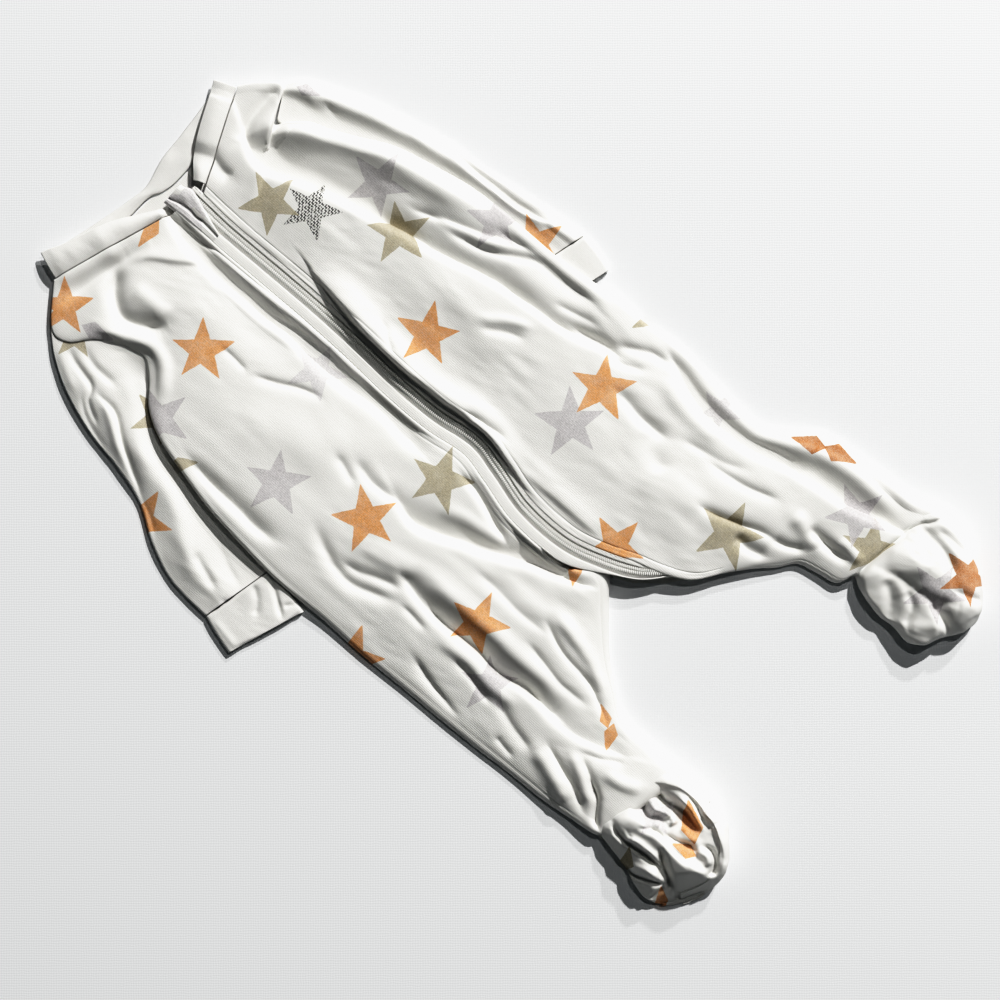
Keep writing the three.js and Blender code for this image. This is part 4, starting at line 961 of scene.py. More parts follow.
def cloth_material(name, printed=None, knit=900.0, tint=WHITE):
    """Cotton jersey or rib: knit bump, a little sheen, faint unevenness of colour, and the print."""
    material, net, shader, place = new_material(name, {
        "Roughness": 0.92, "Sheen Weight": 0.12, "Sheen Roughness": 0.5, "Specular IOR Level": 0.25,
    })
    colour = net.mix(net.noise(place, 35.0, 3.0, 0.6), darker(tint, 0.97), tint)
    flecks = net.ramp(net.noise(place, 1500.0, 2.0, 0.8), 0.35, 0.75, 0.0, 0.14)
    colour = net.mix(flecks, colour, FLECK)
    if printed == "cells":
        colour = print_cells(net, colour, place)
    elif printed == "layers":
        colour = print_layers(net, colour)
    net.tree.links.new(colour, shader.inputs["Base Color"])
    # wales of the knit run down the garment
    wave = {"Scale": knit / FULL_TURN * 2, "Distortion": 2.2, "Detail": 2.0, "Detail Scale": 2.0}
    wales = net.node("ShaderNodeTexWave", {"Vector": place, **wave}, bands_direction="X")
    fuzz = net.noise(place, 1300.0, 3.0, 0.75)
    net.bump(shader, net.math("MULTIPLY_ADD", wales.outputs["Fac"], 0.28, fuzz), 0.6, 0.00032)
    return material


def plain_material(name, tint, rough, metal=0.0):
    """Nylon, enamel or thread, with a fine grain."""
    material, net, shader, place = new_material(name, {"Roughness": rough, "Metallic": metal})
    grain = net.noise(place, 900.0, 3.0, 0.6)
    net.tree.links.new(net.mix(grain, darker(tint, 0.9), tint), shader.inputs["Base Color"])
    net.bump(shader, grain, 0.15, 0.0001)
    return material


JERSEY_PRINT = cloth_material("jersey_print", printed="layers")
JERSEY_CELLS = cloth_material("jersey_back_print", printed="cells")
JERSEY_PLAIN = cloth_material("jersey_plain")
RIB_CLOTH = cloth_material("rib_cloth", knit=1100.0)
TAPE = cloth_material("zip_tape", knit=1500.0, tint=(0.86, 0.855, 0.835, 1.0))
COIL = plain_material("coil_nylon", (0.93, 0.925, 0.90, 1.0), 0.45)
SLIDER = plain_material("slider_enamel", (0.80, 0.79, 0.76, 1.0), 0.35, 0.2)
THREAD = plain_material("thread", (0.83, 0.82, 0.79, 1.0), 0.7)


# Fronts
FADE_STEEP = 16  # how soon the folds come in from an edge
SWELL_POWER = (0.7, 0.8)  # how round the swell is, and how much slower it rises by the zip
STITCH_IN = 4.1  # from a front's edge at the zip to its row of stitches
STITCH_DIP = (0.4, 0.6)  # how deep and how wide that row draws the cloth in
CLOSER_COLUMNS = ((0.0, 0.76, 1.0), (0.0, 0.87, 1.0))
SIDE_TURN = (7, 1.5)  # rings round the edge, and how far the cloth then tucks back under
INNER_TURN = (8, 3.0)


class Front:
    """A front panel: its face by row number and share from the side edge to the zip or seam."""

    def __init__(self, body, leg, side, seed):
        self.body, self.leg, self.side, self.seed = body, leg, side, seed
        self.rows = len(body) + len(leg)
        self.edge = np.concatenate([body[:, :6], leg[:, :6]])
        self.inner = np.concatenate([self.zip_edge(body[:, 6]), leg[:, 6:9]])
        self.zips = body[:, 6]
        turn = np.tile(ZIP_TURN, (len(body), 1))
        under = np.stack([leg[:, 9], leg[:, 8] - FLOOR_GAP], axis=-1)
        self.turn = np.concatenate([turn, under])

    def zip_edge(self, along):
        """The edge beside the zip; on the left leg it rolls over the zip."""
        over = covered(along)
        reach = PANEL_FROM[self.side] - (ROLLED_OVER * over if self.side > 0 else 0.0)
        return zip_point(along, self.side * reach, -1.0 * over)

    def inside(self, row):
        along = between(self.zips, np.minimum(row, len(self.body) - 1))
        on_zip = self.zip_edge(along)
        off_zip = between(self.inner, row)
        return np.where((row <= len(self.body) - 1)[..., None], on_zip, off_zip)

    def face(self, row, share):
        """The top of the cloth: a swell between its edges, the folds, the rumple and the stitched row."""
        row, share = np.broadcast_arrays(np.asarray(row, float), np.asarray(share, float))
        edge = between(self.edge, row)
        inside = self.inside(row)
        p = edge[..., :3] * (1 - share[..., None]) + inside * share[..., None]
        away = np.linalg.norm(edge[..., :2] - inside[..., :2], axis=-1) * (1 - share)
        on_zip = smoothstep(len(self.body) - 1.0, len(self.body) - 2.0, row)
        by_zip = smoothstep(0.0, ZIP_EDGE_WIDE, away)
        inner_side = (1 - share) * (1 - on_zip) + on_zip
        fade = np.minimum(1, FADE_STEEP * share * np.where(share < 0.5, 1 - share, inner_side))
        fade = fade * (by_zip * on_zip + 1 - on_zip)
        power, slower = SWELL_POWER
        flatter = power + slower * on_zip * smoothstep(0.3, 0.7, share)
        swell = edge[..., 3] * np.sin(np.pi * share) ** flatter
        ripple = rumple(p[..., 0], p[..., 1], self.seed)
        p[..., 2] += swell + fade * (fold_height(FRONT_FOLDS, p[..., 0], p[..., 1]) + ripple)
        dip, dip_wide = STITCH_DIP
        p[..., 2] -= on_zip * dip * np.exp(-(((away - STITCH_IN) / dip_wide) ** 2))
        spare = p[..., 2] - LEAST_CLEAR
        p[..., 2] += 0.5 * (np.hypot(spare, SOFT_STOP) - spare)
        return p

    def surface(self, along, across):
        """The face with its side edge turned down and under, and its inner edge turned in."""
        row = np.linspace(0, self.rows - 1, along)
        # closer columns by the zip
        share = np.interp(np.linspace(0, 1, across), *CLOSER_COLUMNS)
        p = self.face(row[:, None], share[None, :])
        rim = between(self.edge, row)
        outward = p[:, 0, :2] - p[:, 3, :2]
        outward /= np.linalg.norm(outward, axis=-1, keepdims=True)
        inward = p[:, -1, :2] - p[:, -4, :2]
        inward /= np.linalg.norm(inward, axis=-1, keepdims=True)
        side_turn = turned(p[:, 0], outward, rim[:, 4], p[:, 0, 2] - rim[:, 5], *SIDE_TURN)
        inner = between(self.turn, row)
        drop = np.minimum(inner[:, 1], p[:, -1, 2] - FLOOR_GAP)
        inner_turn = turned(p[:, -1], inward, inner[:, 0], drop, *INNER_TURN)
        return np.concatenate([side_turn[:, ::-1], p, inner_turn], axis=1)


def turned(edge, outward, reach, drop, steps, tuck):
    """Rings from an edge round and down, then tucked back under."""
    columns = []
    for i in range(1, steps + 1):
        angle = 0.5 * math.pi * i / steps
        p = edge.copy()
        p[:, :2] += outward * (reach * math.sin(angle))[:, None]
        p[:, 2] -= drop * (1 - math.cos(angle))
        columns.append(p)
    under = columns[-1].copy()
    under[:, :2] -= outward * tuck
    columns.append(under)
    return np.stack(columns, axis=1)


FRONT_ALONG = int(336 * FINE)
FRONT_ACROSS = int(125 * FINE)
right_front = Front(RIGHT_BODY, RIGHT_LEG, -1, 11)
left_front = Front(LEFT_BODY, LEFT_LEG, 1, 23)
for name, front, flip, flat in (
    ("front_right", right_front, False, (0.20, 0.50)),
    ("front_left", left_front, True, (0.20, 0.51)),
):
    points = front.surface(FRONT_ALONG, FRONT_ACROSS)
    mesh = grid_mesh(name + "_cloth", points, flip=flip)
    print_stars(mesh, "front")
    obj = add_object(name + "_cloth", mesh, JERSEY_PRINT, [name])
    thicken(obj, THICK["jersey"])
    round(cloth_area(points), 4)


# Back panel, flat under the rest
def back_cloth():
    work = bmesh.new()
    high = THICK["back"] * MM
    rim = [work.verts.new(((x + SHIFT_X) * MM, (y + SHIFT_Y) * MM, high)) for x, y in BACK_OUTLINE]
    work.faces.new(rim)
    work.normal_update()
    bmesh.ops.triangulate(work, faces=work.faces[:], ngon_method="EAR_CLIP")
    mesh = bpy.data.meshes.new("back_cloth")
    work.to_mesh(mesh)
    work.free()
    return mesh


mesh = back_cloth()
area = sum(face.area for face in mesh.polygons)
face_up(mesh)
obj = add_object("back_cloth", mesh, JERSEY_CELLS, ["back_panel"], smooth=False)
thicken(obj, THICK["back"])

# Sleeves and cuffs
ROUND_POINTS = 9  # round each fold of a laid tube, with its two ends
ROUND_REACH = 0.98
SLEEVE_RUMPLE = 0.9
SLEEVE_WAVE = (0.4, 9)  # the least height's own rise and fall across the sleeve
ARMHOLE_DROP = 0.6


def tube_section(place, top, across, edge_height):
    """One closed section: the top from the outer to the inner fold, round, and back along the floor."""
    width = float(np.linalg.norm(place(np.array([1.0]))[0] - place(np.array([0.0]))[0]))
    inset = edge_height / 2 / width
    share = np.linspace(inset, 1 - inset, across)
    upper = np.concatenate([place(share), top(share)[:, None]], axis=1)
    lower = np.concatenate([place(share[::-1]), np.full((across, 1), FLOOR_GAP)], axis=1)
    angle = np.linspace(0, math.pi, ROUND_POINTS)[1:-1]
    out = np.sin(angle) * inset * ROUND_REACH
    arcs = []
    for at, high in ((1 - inset + out, upper[-1, 2]), (inset - out, upper[0, 2])):
        z = (high + FLOOR_GAP) / 2 + np.cos(angle) * (high - FLOOR_GAP) / 2
        arcs.append(np.concatenate([place(at), z[:, None]], axis=1))
    return np.concatenate([upper, arcs[0], lower, arcs[1][::-1]])


def across_tube(x0, y0, x1, y1, share):
    """Places at shares of the way from a laid tube's outer fold to its inner one."""
    share = np.asarray(share, float)[:, None]
    return np.array([x0, y0]) * (1 - share) + np.array([x1, y1]) * share


def sleeve(table, side, rings, across, seed, armhole=None, seam_top=None):
    """A laid sleeve; its first end may bend along an armhole and take the height of the seam."""
    spot, half = ROLL[side]
    wave, waves = SLEEVE_WAVE
    loops = []
    for at in np.linspace(0, len(table) - 1, rings):
        x0, y0, x1, y1, bend, roll = between(table, at)

        def place(share):
            p = across_tube(x0, y0, x1, y1, share)
            if armhole is not None:
                p = p + bend * armhole(np.asarray(share, float))
            return p

        def top(share):
            p = place(share)
            raised = np.exp(-(((share - spot) / half) ** 2))
            rumpled = SLEEVE_RUMPLE * rumple(p[:, 0], p[:, 1], seed)
            extra = fold_height(SLEEVE_FOLDS, p[:, 0], p[:, 1]) + rumpled
            z = SLEEVE_TOP + (roll + extra) * raised
            z = np.maximum(z, SLEEVE_LEAST + wave * np.sin(share * waves))
            if seam_top is not None:
                z = z + (seam_top(share) - z) * float(smoothstep(0.9, 0.0, at))
            return z

        loops.append(tube_section(place, top, across, SLEEVE_TOP))
    return np.array(loops)


def armhole_seam(front, share):
    """A front's side edge along its armhole."""
    first, last = ARMHOLE_ROWS
    return front.face(first + (last - first) * share, np.zeros_like(share))


def armhole_bend(front):
    """How far the armhole bows out from the straight line between its ends."""
    start = armhole_seam(front, np.array([0.0]))[0, :2]
    end = armhole_seam(front, np.array([1.0]))[0, :2]

    def bend(share):
        return armhole_seam(front, share)[:, :2] - (start * (1 - share[:, None]) + end * share[:, None])

    return bend


def armhole_top(front):
    return lambda share: armhole_seam(front, share)[:, 2] - ARMHOLE_DROP


RINGS = int(170 * FINE)
AROUND = int(84 * FINE)
bend, seam_top = armhole_bend(right_front), armhole_top(right_front)
sleeves = {
    "right": sleeve(SLEEVE_RIGHT, "right", RINGS, AROUND, 31, bend, seam_top),
    "left": sleeve(SLEEVE_LEFT, "left", RINGS, AROUND, 47),
}
for side, points in sleeves.items():
    mesh = grid_mesh("sleeve_" + side + "_cloth", points, wrap=True, flip=(side == "right"))
    print_stars(mesh, "sleeve")
    obj = add_object("sleeve_" + side + "_cloth", mesh, JERSEY_PRINT, ["sleeve_" + side])
    thicken(obj, THICK["jersey"])
    area = round(cloth_area(points, True), 4)

CUFF_PINCH = (0.5, 0.12)  # how far the seam draws the rib in, and over which share of its rows
CUFF_LIFT = 0.9
CUFF_RUMPLE = (0.6, 1.3)  # height, and how much closer together than on jersey
CUFF_GRID = (int(40 * FINE), int(120 * FINE))


def cuff(table, seed):
    """A laid rib cuff, pinched at its seam."""
    rings, across = CUFF_GRID
    pinch_deep, pinch_long = CUFF_PINCH
    rumple_high, closer = CUFF_RUMPLE
    loops = []
    for at in np.linspace(0, len(table) - 1, rings):
        x0, y0, x1, y1 = between(table, at)
        pinch = pinch_deep * math.exp(-((at / pinch_long) ** 2))

        def place(share):
            return across_tube(x0, y0, x1, y1, share)

        def top(share):
            p = place(share)
            wave = rumple_high * rumple(p[:, 0] * closer, p[:, 1] * closer, seed)
            wave = wave + fold_height(CUFF_FOLDS, p[:, 0], p[:, 1])
            lift = np.sin(math.pi * share) ** 0.5
            return np.maximum(CUFF_TOP + (CUFF_LIFT + wave) * lift - pinch, CUFF_LEAST)

        loops.append(tube_section(place, top, across, CUFF_TOP))
    return np.array(loops)


for side, table, seed in (("right", CUFF_RIGHT, 61), ("left", CUFF_LEFT, 67)):
    points = cuff(table, seed)
    mesh = grid_mesh("cuff_" + side + "_cloth", points, wrap=True, flip=(side == "right"))
    obj = add_object("cuff_" + side + "_cloth", mesh, RIB_CLOTH, ["cuff_" + side])
    thicken(obj, THICK["rib"])
    area = round(cloth_area(points, True), 4)

# Neckbands
BAND_GAP = 0.6  # between a front's top edge and its band
BAND_RISE = 2.6
BAND_RUMPLE = (0.4, 1.5, 71)  # height, how much closer together than on jersey, and seed
BAND_ROLL = 0.9  # radius of the free edge
BACK_BAND_BASE = 1.3
BACK_BAND_RISE = 1.6
BACK_BAND_UNEVEN = (0.3, 9, 5)  # height and width of its small swells, and their seed


def neckband(front, widths, steps, across):
    """A rib band along a front's top edge, raised along its middle."""
    share = np.linspace(0, BAND_REACH, steps)
    base = front.face(np.zeros(steps), share)
    chord = front.face(np.zeros(2), np.array([0.0, 1.0]))
    away = chord[1, :2] - chord[0, :2]
    away /= np.linalg.norm(away)
    out = np.array([-away[1], away[0]])
    if out[1] < 0:
        out = -out
    width = between(widths, np.linspace(0, len(widths) - 1, steps))
    rumple_high, closer, seed = BAND_RUMPLE
    rows = []
    for k in range(across + 1):
        t = k / across
        p = base.copy()
        p[:, :2] += out * (BAND_GAP + width * t)[:, None]
        wave = rumple_high * rumple(p[:, 0] * closer, p[:, 1] * closer, seed)
        rise = BAND_RISE * math.sin(math.pi * min(1.0, 0.08 + 0.8 * t)) ** 0.8
        p[:, 2] += rise + wave * math.sin(math.pi * t)
        rows.append(p)
    # the band's free edge rolls over and under
    edge = rows[-1]
    for angle in np.linspace(0, math.pi, 7)[1:]:
        p = edge.copy()
        p[:, :2] += out * (BAND_ROLL * math.sin(angle))
        p[:, 2] -= BAND_ROLL * (1 - math.cos(angle))
        rows.append(p)
    return np.stack(rows, axis=1)


for side, front, widths, flip in (
    ("right", right_front, BAND_RIGHT, True),
    ("left", left_front, BAND_LEFT, False),
):
    points = neckband(front, widths, int(120 * FINE), int(24 * FINE))
    mesh = grid_mesh("neckband_" + side + "_cloth", points, flip=flip)
    obj = add_object("neckband_" + side + "_cloth", mesh, RIB_CLOTH, ["neckband_" + side])
    thicken(obj, THICK["front_band"])
    area = round(cloth_area(points), 5)


def back_band(steps, across=20):
    """The back neckband, between its outer and inner edge."""
    rail = between(BACK_BAND, np.linspace(0, len(BACK_BAND) - 1, steps))
    uneven, wide, seed = BACK_BAND_UNEVEN
    rows = []
    for k in range(across + 1):
        t = k / across
        xy = rail[:, :2] * (1 - t) + rail[:, 2:] * t
        z = BACK_BAND_BASE + BACK_BAND_RISE * math.sin(math.pi * t) ** 0.6
        z = z + uneven * lattice(xy[:, 0] / wide, xy[:, 1] / wide, seed)
        rows.append(np.column_stack([xy, z]))
    return np.stack(rows, axis=1)


points = back_band(int(140 * FINE))
mesh = grid_mesh("neckband_back_cloth", points)
face_up(mesh)
obj = add_object("neckband_back_cloth", mesh, RIB_CLOTH, ["neckband_back"])
thicken(obj, THICK["back_band"])
area = round(cloth_area(points), 5)


# Zip
STRIP_COLUMNS = 11
STRIP_LIP = 1.0  # how far a strip's two edges turn down
STRIP_UNEVEN = (0.12, 5, 7, 3)  # height, width and length of its small swells, and their seed
STRIP_UNDER = (2.0, 3.0)  # its two edges where it runs under the rolled cloth
WELT_TURNED = 0.9  # how much of the right welt turns under down the leg
WELT_BULGE = 0.4
TAPE_HIGH = -1.7
TAPE_SHARE = 0.97  # of the welt's distances from the centre line


def zip_strip(name, across, top, bulge, material, node):
    """A strip of cloth down the zip, between two distances from its centre line."""
    along = np.linspace(0, zip_curve.length, int(420 * FINE))
    low, high = across
    gone = covered(along)
    # the strip on the wearer's right
    if low < 0:
        low = low + (high - low) * WELT_TURNED * smoothstep(*WELT_GONE, along)
    low = low * (1 - gone) + STRIP_UNDER[0] * gone
    high = high * (1 - gone) + STRIP_UNDER[1] * gone
    columns = []
    for share in np.linspace(0, 1, STRIP_COLUMNS):
        rise = top + bulge * math.sin(math.pi * share) ** 0.5
        columns.append(zip_point(along, low + (high - low) * share, rise))
    points = np.stack(columns, axis=1)
    points[..., 2] -= SINK * gone[:, None]
    uneven, wide, long, seed = STRIP_UNEVEN
    points[..., 2] += uneven * lattice(points[..., 0] / wide, points[..., 1] / long, seed)
    lips = points[:, [0, -1]]
    lips[..., 2] -= STRIP_LIP
    points = np.concatenate([lips[:, :1], points, lips[:, 1:]], axis=1)
    mesh = grid_mesh(name, points)
    face_up(mesh, middle=True)
    return add_object(name, mesh, material, [node]), points


for side, across in (("right", WELT_RIGHT), ("left", WELT_LEFT)):
    name = "welt_" + side
    obj, points = zip_strip(name + "_cloth", across, 0.0, WELT_BULGE, JERSEY_PLAIN, name)
    thicken(obj, THICK["welt"])
    area = round(cloth_area(points), 4)
    across = tuple(TAPE_SHARE * a for a in across)
    tape, points = zip_strip("tape_" + side, across, TAPE_HIGH, 0.0, TAPE, "zip_tape_" + side)
    thicken(tape, THICK["tape"])


def blob(sides, rings):
    """A small round bead of unit radius: points and faces."""
    points = [(0, 0, 1)]
    for r in range(1, rings):
        polar = math.pi * r / rings
        for k in range(sides):
            turn = 2 * math.pi * k / sides
            flat = math.sin(polar)
            points.append((flat * math.cos(turn), flat * math.sin(turn), math.cos(polar)))
    points.append((0, 0, -1))
    faces = []
    last = len(points) - 1
    for k in range(sides):
        after = (k + 1) % sides
        faces.append((0, 1 + k, 1 + after))
        for r in range(rings - 2):
            a, b = 1 + r * sides, 1 + (r + 1) * sides
            faces.append((a + k, b + k, b + after))
            faces.append((a + k, b + after, a + after))
        faces.append((1 + (rings - 2) * sides + k, last, 1 + (rings - 2) * sides + after))
    return np.array(points, float), np.array(faces)


def beads(name, centres, forward, half, material, nodes=(), sides=6, rings=4):
    """Many small beads in one mesh; half holds their half length, half width and half height."""
    shape, faces = blob(sides, rings)
    sideways = np.stack([-forward[:, 1], forward[:, 0], np.zeros(len(forward))], axis=1)
    sideways /= np.linalg.norm(sideways, axis=1, keepdims=True)
    upward = np.cross(forward, sideways)
    local = shape * half
    points = (
        centres[:, None]
        + local[None, :, :1] * forward[:, None]
        + local[None, :, 1:2] * sideways[:, None]
        + local[None, :, 2:] * upward[:, None]
    )
    count = len(shape)
    all_faces = (faces[None] + count * np.arange(len(centres))[:, None, None]).reshape(-1, 3)
    return add_object(name, mesh_from(name, points, all_faces), material, nodes)


# Coil: its teeth in two rows, and the woven bed under them
TOOTH = 1.25
TOOTH_HALF = (1.38, 0.46, 0.75)  # half its length across the zip, half its width, half its height
TOOTH_HIGH = 0.45
BED_EDGES = (-4.2, 4.6)
BED_COLUMNS = 9
BED_MIDDLE = 2.0
BED_HIGH = -1.3
BED_NARROWED = 0.7  # where it runs under the rolled cloth
teeth_at = np.arange(2, zip_curve.length - 1, TOOTH / 2)
sides = np.where(np.arange(len(teeth_at)) % 2 == 0, 1.0, -1.0)
centres = zip_point(teeth_at, COIL_MIDDLE + sides * COIL_ROW * (1 - covered(teeth_at)), TOOTH_HIGH)
centres[:, 2] -= SINK * covered(teeth_at)
ahead = zip_curve.tangent(teeth_at)
across_zip = np.column_stack([-ahead[:, 1], ahead[:, 0], np.zeros(len(ahead))])
beads("coil_teeth", centres, across_zip, TOOTH_HALF, COIL, ["zip_coil"], 8, 5)
bed_at = np.linspace(0, zip_curve.length, int(400 * FINE))
bed_wide = 1 - BED_NARROWED * covered(bed_at)
bed_across = [a * bed_wide + BED_MIDDLE for a in np.linspace(*BED_EDGES, BED_COLUMNS)]
columns = [zip_point(bed_at, across, BED_HIGH) for across in bed_across]
points = np.stack(columns, axis=1)
points[..., 2] -= SINK * covered(bed_at)[:, None]
mesh = grid_mesh("coil_bed", points)
face_up(mesh)
thicken(add_object("coil_bed", mesh, TAPE, []), THICK["tape"])

# Stitches: two rows on the welts, two on the fronts beside them
STITCH_LONG = 2.3
STITCH_GAP = 0.7
STITCH_THICK = 0.24
STITCH_FROM_WELT_EDGE = 0.9
STITCH_OVER_WELT = 0.45
STITCH_OVER_FRONT = 0.1


def stitches(path):
    """The middle and direction of each stitch of a row along a line of points."""
    line = Curve(path)
    at = np.arange(STITCH_LONG / 2, line.length, STITCH_LONG + STITCH_GAP)
    ahead = line.point(np.minimum(at + 0.5, line.length)) - line.point(np.maximum(at - 0.5, 0))
    ahead /= np.linalg.norm(ahead, axis=1, keepdims=True)
    return line.point(at), ahead


rows = []
for side, welt_edge, end in ((1, WELT_LEFT[1], ZIP_UNDER[0]), (-1, -WELT_RIGHT[0], WELT_GONE[0])):
    at = welt_edge - STITCH_FROM_WELT_EDGE
    rows.append(stitches(zip_point(np.linspace(1, end, 200), side * at, STITCH_OVER_WELT)))
for front in (left_front, right_front):
    span = np.linspace(0.5, len(front.body) - 1.2, 260)
    width = np.linalg.norm(front.inside(span)[:, :2] - between(front.edge, span)[:, :2], axis=1)
    path = front.face(span, 1 - STITCH_IN / width)
    path[:, 2] += STITCH_OVER_FRONT
    rows.append(stitches(path))
centres, ahead = (np.concatenate(parts) for parts in zip(*rows))
beads("topstitch", centres, ahead, (STITCH_LONG / 2, STITCH_THICK, STITCH_THICK), THREAD, [])

# The guard's section from its upper edge to its lower: share across, height over the zip
GUARD_SECTION = np.array([
    (0.0, 0.6), (0.04, 2.2), (0.10, 3.2), (0.22, 3.5), (0.42, 3.2), (0.58, 2.7), (0.68, 2.1), (0.71, 0.7),
    (0.76, 0.8), (0.82, 1.9), (0.92, 1.7), (0.97, 0.8), (1.0, -0.8),
])
GUARD_LAYER = (0.71, 0.22)  # the share where the first layer ends, at top and at tip
GUARD_SPAN = (-6, 31)
GUARD_EDGES = ((9.0, -11.0), (-1.6, -8.0))  # upper and lower edge across the zip, at top and at tip
GUARD_COLUMNS = 70
GUARD_DRAWN_IN = (5.0, 0.12)  # how far its top corner draws in, and over which share of its length
GUARD_LIFTED = (0.5, 0.1)  # the same for how far its top edge lifts
GUARD_LOWER = 0.45  # how much lower it lies at its tip
GUARD_UNEVEN = (0.35, 4, 6, 9)  # height, width and length of its small swells, and their seed


def guard():
    """The printed cloth guard folded over the zip's top end."""
    along = np.linspace(*GUARD_SPAN, int(150 * FINE))
    down = np.linspace(0, 1, len(along))
    (top_high, top_low), (tip_high, tip_low) = GUARD_EDGES
    drawn, drawn_long = GUARD_DRAWN_IN
    high = top_high + (tip_high - top_high) * down - drawn * np.exp(-((down / drawn_long) ** 2))
    low = top_low + (tip_low - top_low) * down
    # the first layer narrows to a tip, and the second keeps on
    layer, layer_at_tip = GUARD_LAYER
    first = layer * (1 - down) + layer_at_tip * down
    lifted, lifted_long = GUARD_LIFTED
    uneven, wide, long, seed = GUARD_UNEVEN
    columns = []
    for t in np.linspace(0, 1, GUARD_COLUMNS):
        section_at = np.where(t < first, t / first * layer, 1 - (1 - t) / (1 - first) * (1 - layer))
        rise = np.interp(section_at, GUARD_SECTION[:, 0], GUARD_SECTION[:, 1])
        p = zip_point(along, high + (low - high) * t, rise * (1 - GUARD_LOWER * down**2))
        small = uneven * lattice(p[:, 0] / wide, p[:, 1] / long, seed)
        p[:, 2] += small + lifted * np.exp(-((down / lifted_long) ** 2))
        columns.append(p)
    return np.stack(columns, axis=1)


points = guard()
mesh = grid_mesh("guard_cloth", points)
face_up(mesh, middle=True)
print_stars(mesh, "guard")
obj = add_object("guard_cloth", mesh, JERSEY_PRINT, ["zip_guard"])
thicken(obj, THICK["guard"])
area = round(cloth_area(points), 5)

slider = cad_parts["zip_slider"]
slider.data.materials.clear()
slider.data.materials.append(SLIDER)


# Feet
def kept_under(height, cap, rounded):
    """The height, held under a cap with a soft stop."""
    return 0.5 * (height + cap - np.hypot(height - cap, rounded))


class Foot:
    """A foot's skin: a section run round the outline, with folds."""

    def __init__(self, table, seed):
        self.centre = np.array(table["centre"], float)
        self.rim = Curve(table["outline"], closed=True)
        self.section = np.array(table["section"], float)
        self.seed = seed
        self.ankle = np.array(table["ankle"], float)
        self.planes = [
            (np.array(from_photo(*a)), np.array(from_photo(*b)), low, rise)
            for a, b, low, rise in table["planes"]
        ]

    def from_ankle(self, x, y):
        """How far a point lies beyond the ankle seam."""
        start, end = self.ankle
        along = (end - start) / np.linalg.norm(end - start)
        toward = self.centre - start
        out = toward - along * (toward @ along)
        out /= np.linalg.norm(out)
        return (x - start[0]) * out[0] + (y - start[1]) * out[1]

    def skin(self, rings, share, out=0.0):
        """Points at places up the section and round the outline, with a distance out from the skin."""
        shape = FOOT_SHAPE
        rings, share = np.broadcast_arrays(rings, share)
        section = between(self.section, rings)
        edge = self.rim.point(np.mod(share, 1.0) * self.rim.length) - self.centre
        reach, height = section[..., 0], section[..., 1]
        step = 0.05
        ahead = between(self.section, np.minimum(rings + step, len(self.section) - 1))
        behind = between(self.section, np.maximum(rings - step, 0))
        span = np.linalg.norm(edge, axis=-1)
        rise = ahead[..., 1] - behind[..., 1]
        run = (ahead[..., 0] - behind[..., 0]) * span
        size = np.maximum(np.hypot(rise, run), 1e-6)
        scale = reach + rise / size * out / span
        xy = self.centre + edge * scale[..., None]
        x, y = xy[..., 0], xy[..., 1]
        free = smoothstep(*shape["free"], height)
        rumpled = shape["rumple"] * rumple(x * shape["closer"], y * shape["closer"], self.seed)
        fold = (fold_height(FOOT_FOLDS, x, y) + rumpled) * free
        uneven = lattice(share * shape["uneven_round"], height / shape["uneven_up"], self.seed + 4)
        side = shape["uneven"] * uneven * free * reach
        xy = self.centre + edge * (scale + side / span)[..., None]
        height = kept_under(height, shape["cap"] + shape["slope"] * self.from_ankle(x, y), shape["cap_round"])
        for start, end, low, slope in self.planes:
            along = (end - start) / np.linalg.norm(end - start)
            inward = np.array([-along[1], along[0]])
            inward *= np.sign((self.centre - start) @ inward)
            cap = low + slope * ((x - start[0]) * inward[0] + (y - start[1]) * inward[1])
            height = kept_under(height, cap, shape["plane_round"])
        z = height + fold - run / size * out
        return np.stack([xy[..., 0], xy[..., 1], np.maximum(z, FLOOR_GAP)], axis=-1)

    def share_at(self, degrees):
        share = np.linspace(0, 1, 720, endpoint=False)
        p = self.rim.point(share * self.rim.length) - self.centre
        angle = np.degrees(np.arctan2(-p[:, 1], p[:, 0]))
        off = np.abs((angle - degrees + 540) % 360 - 180)
        return share[off.argmin()]


feet = {"foot_left": Foot(FOOT_LEFT, 81), "foot_right": Foot(FOOT_RIGHT, 91)}
for name, foot in feet.items():
    around = int(190 * FINE)
    # the section stops just short of its middle, and one face closes it
    rings = np.linspace(0, len(foot.section) - 1.02, int(100 * FINE))
    points = foot.skin(rings[:, None], np.linspace(0, 1, around, endpoint=False)[None, :])
    faces = grid_faces(len(rings), around, wrap=True).tolist()
    faces.append([(len(rings) - 1) * around + k for k in range(around)])
    mesh = mesh_from(name + "_cloth", points, faces)
    face_up(mesh, middle=True)
    print_stars(mesh, "foot")
    obj = add_object(name + "_cloth", mesh, JERSEY_PRINT, [name + "_upper"])
    thicken(obj, THICK["jersey"])
    area = round(cloth_area(points, True), 4)
    edge = foot.rim.point(np.linspace(0, 1, SOLE_SIDES, endpoint=False) * foot.rim.length) - foot.centre
    high = np.full(SOLE_SIDES, SOLE_HIGH)
    points = np.stack([np.column_stack([foot.centre + edge * share, high]) for share in SOLE_RINGS], axis=0)
    faces = grid_faces(len(SOLE_RINGS), SOLE_SIDES, wrap=True).tolist() + [list(range(SOLE_SIDES))]
    mesh = mesh_from(name + "_sole_cloth", points, faces)
    face_up(mesh)
    obj = add_object(name + "_sole_cloth", mesh, JERSEY_CELLS, [name + "_sole"])
    thicken(obj, THICK["sole"])
    area = round(cloth_area(points, True), 5)

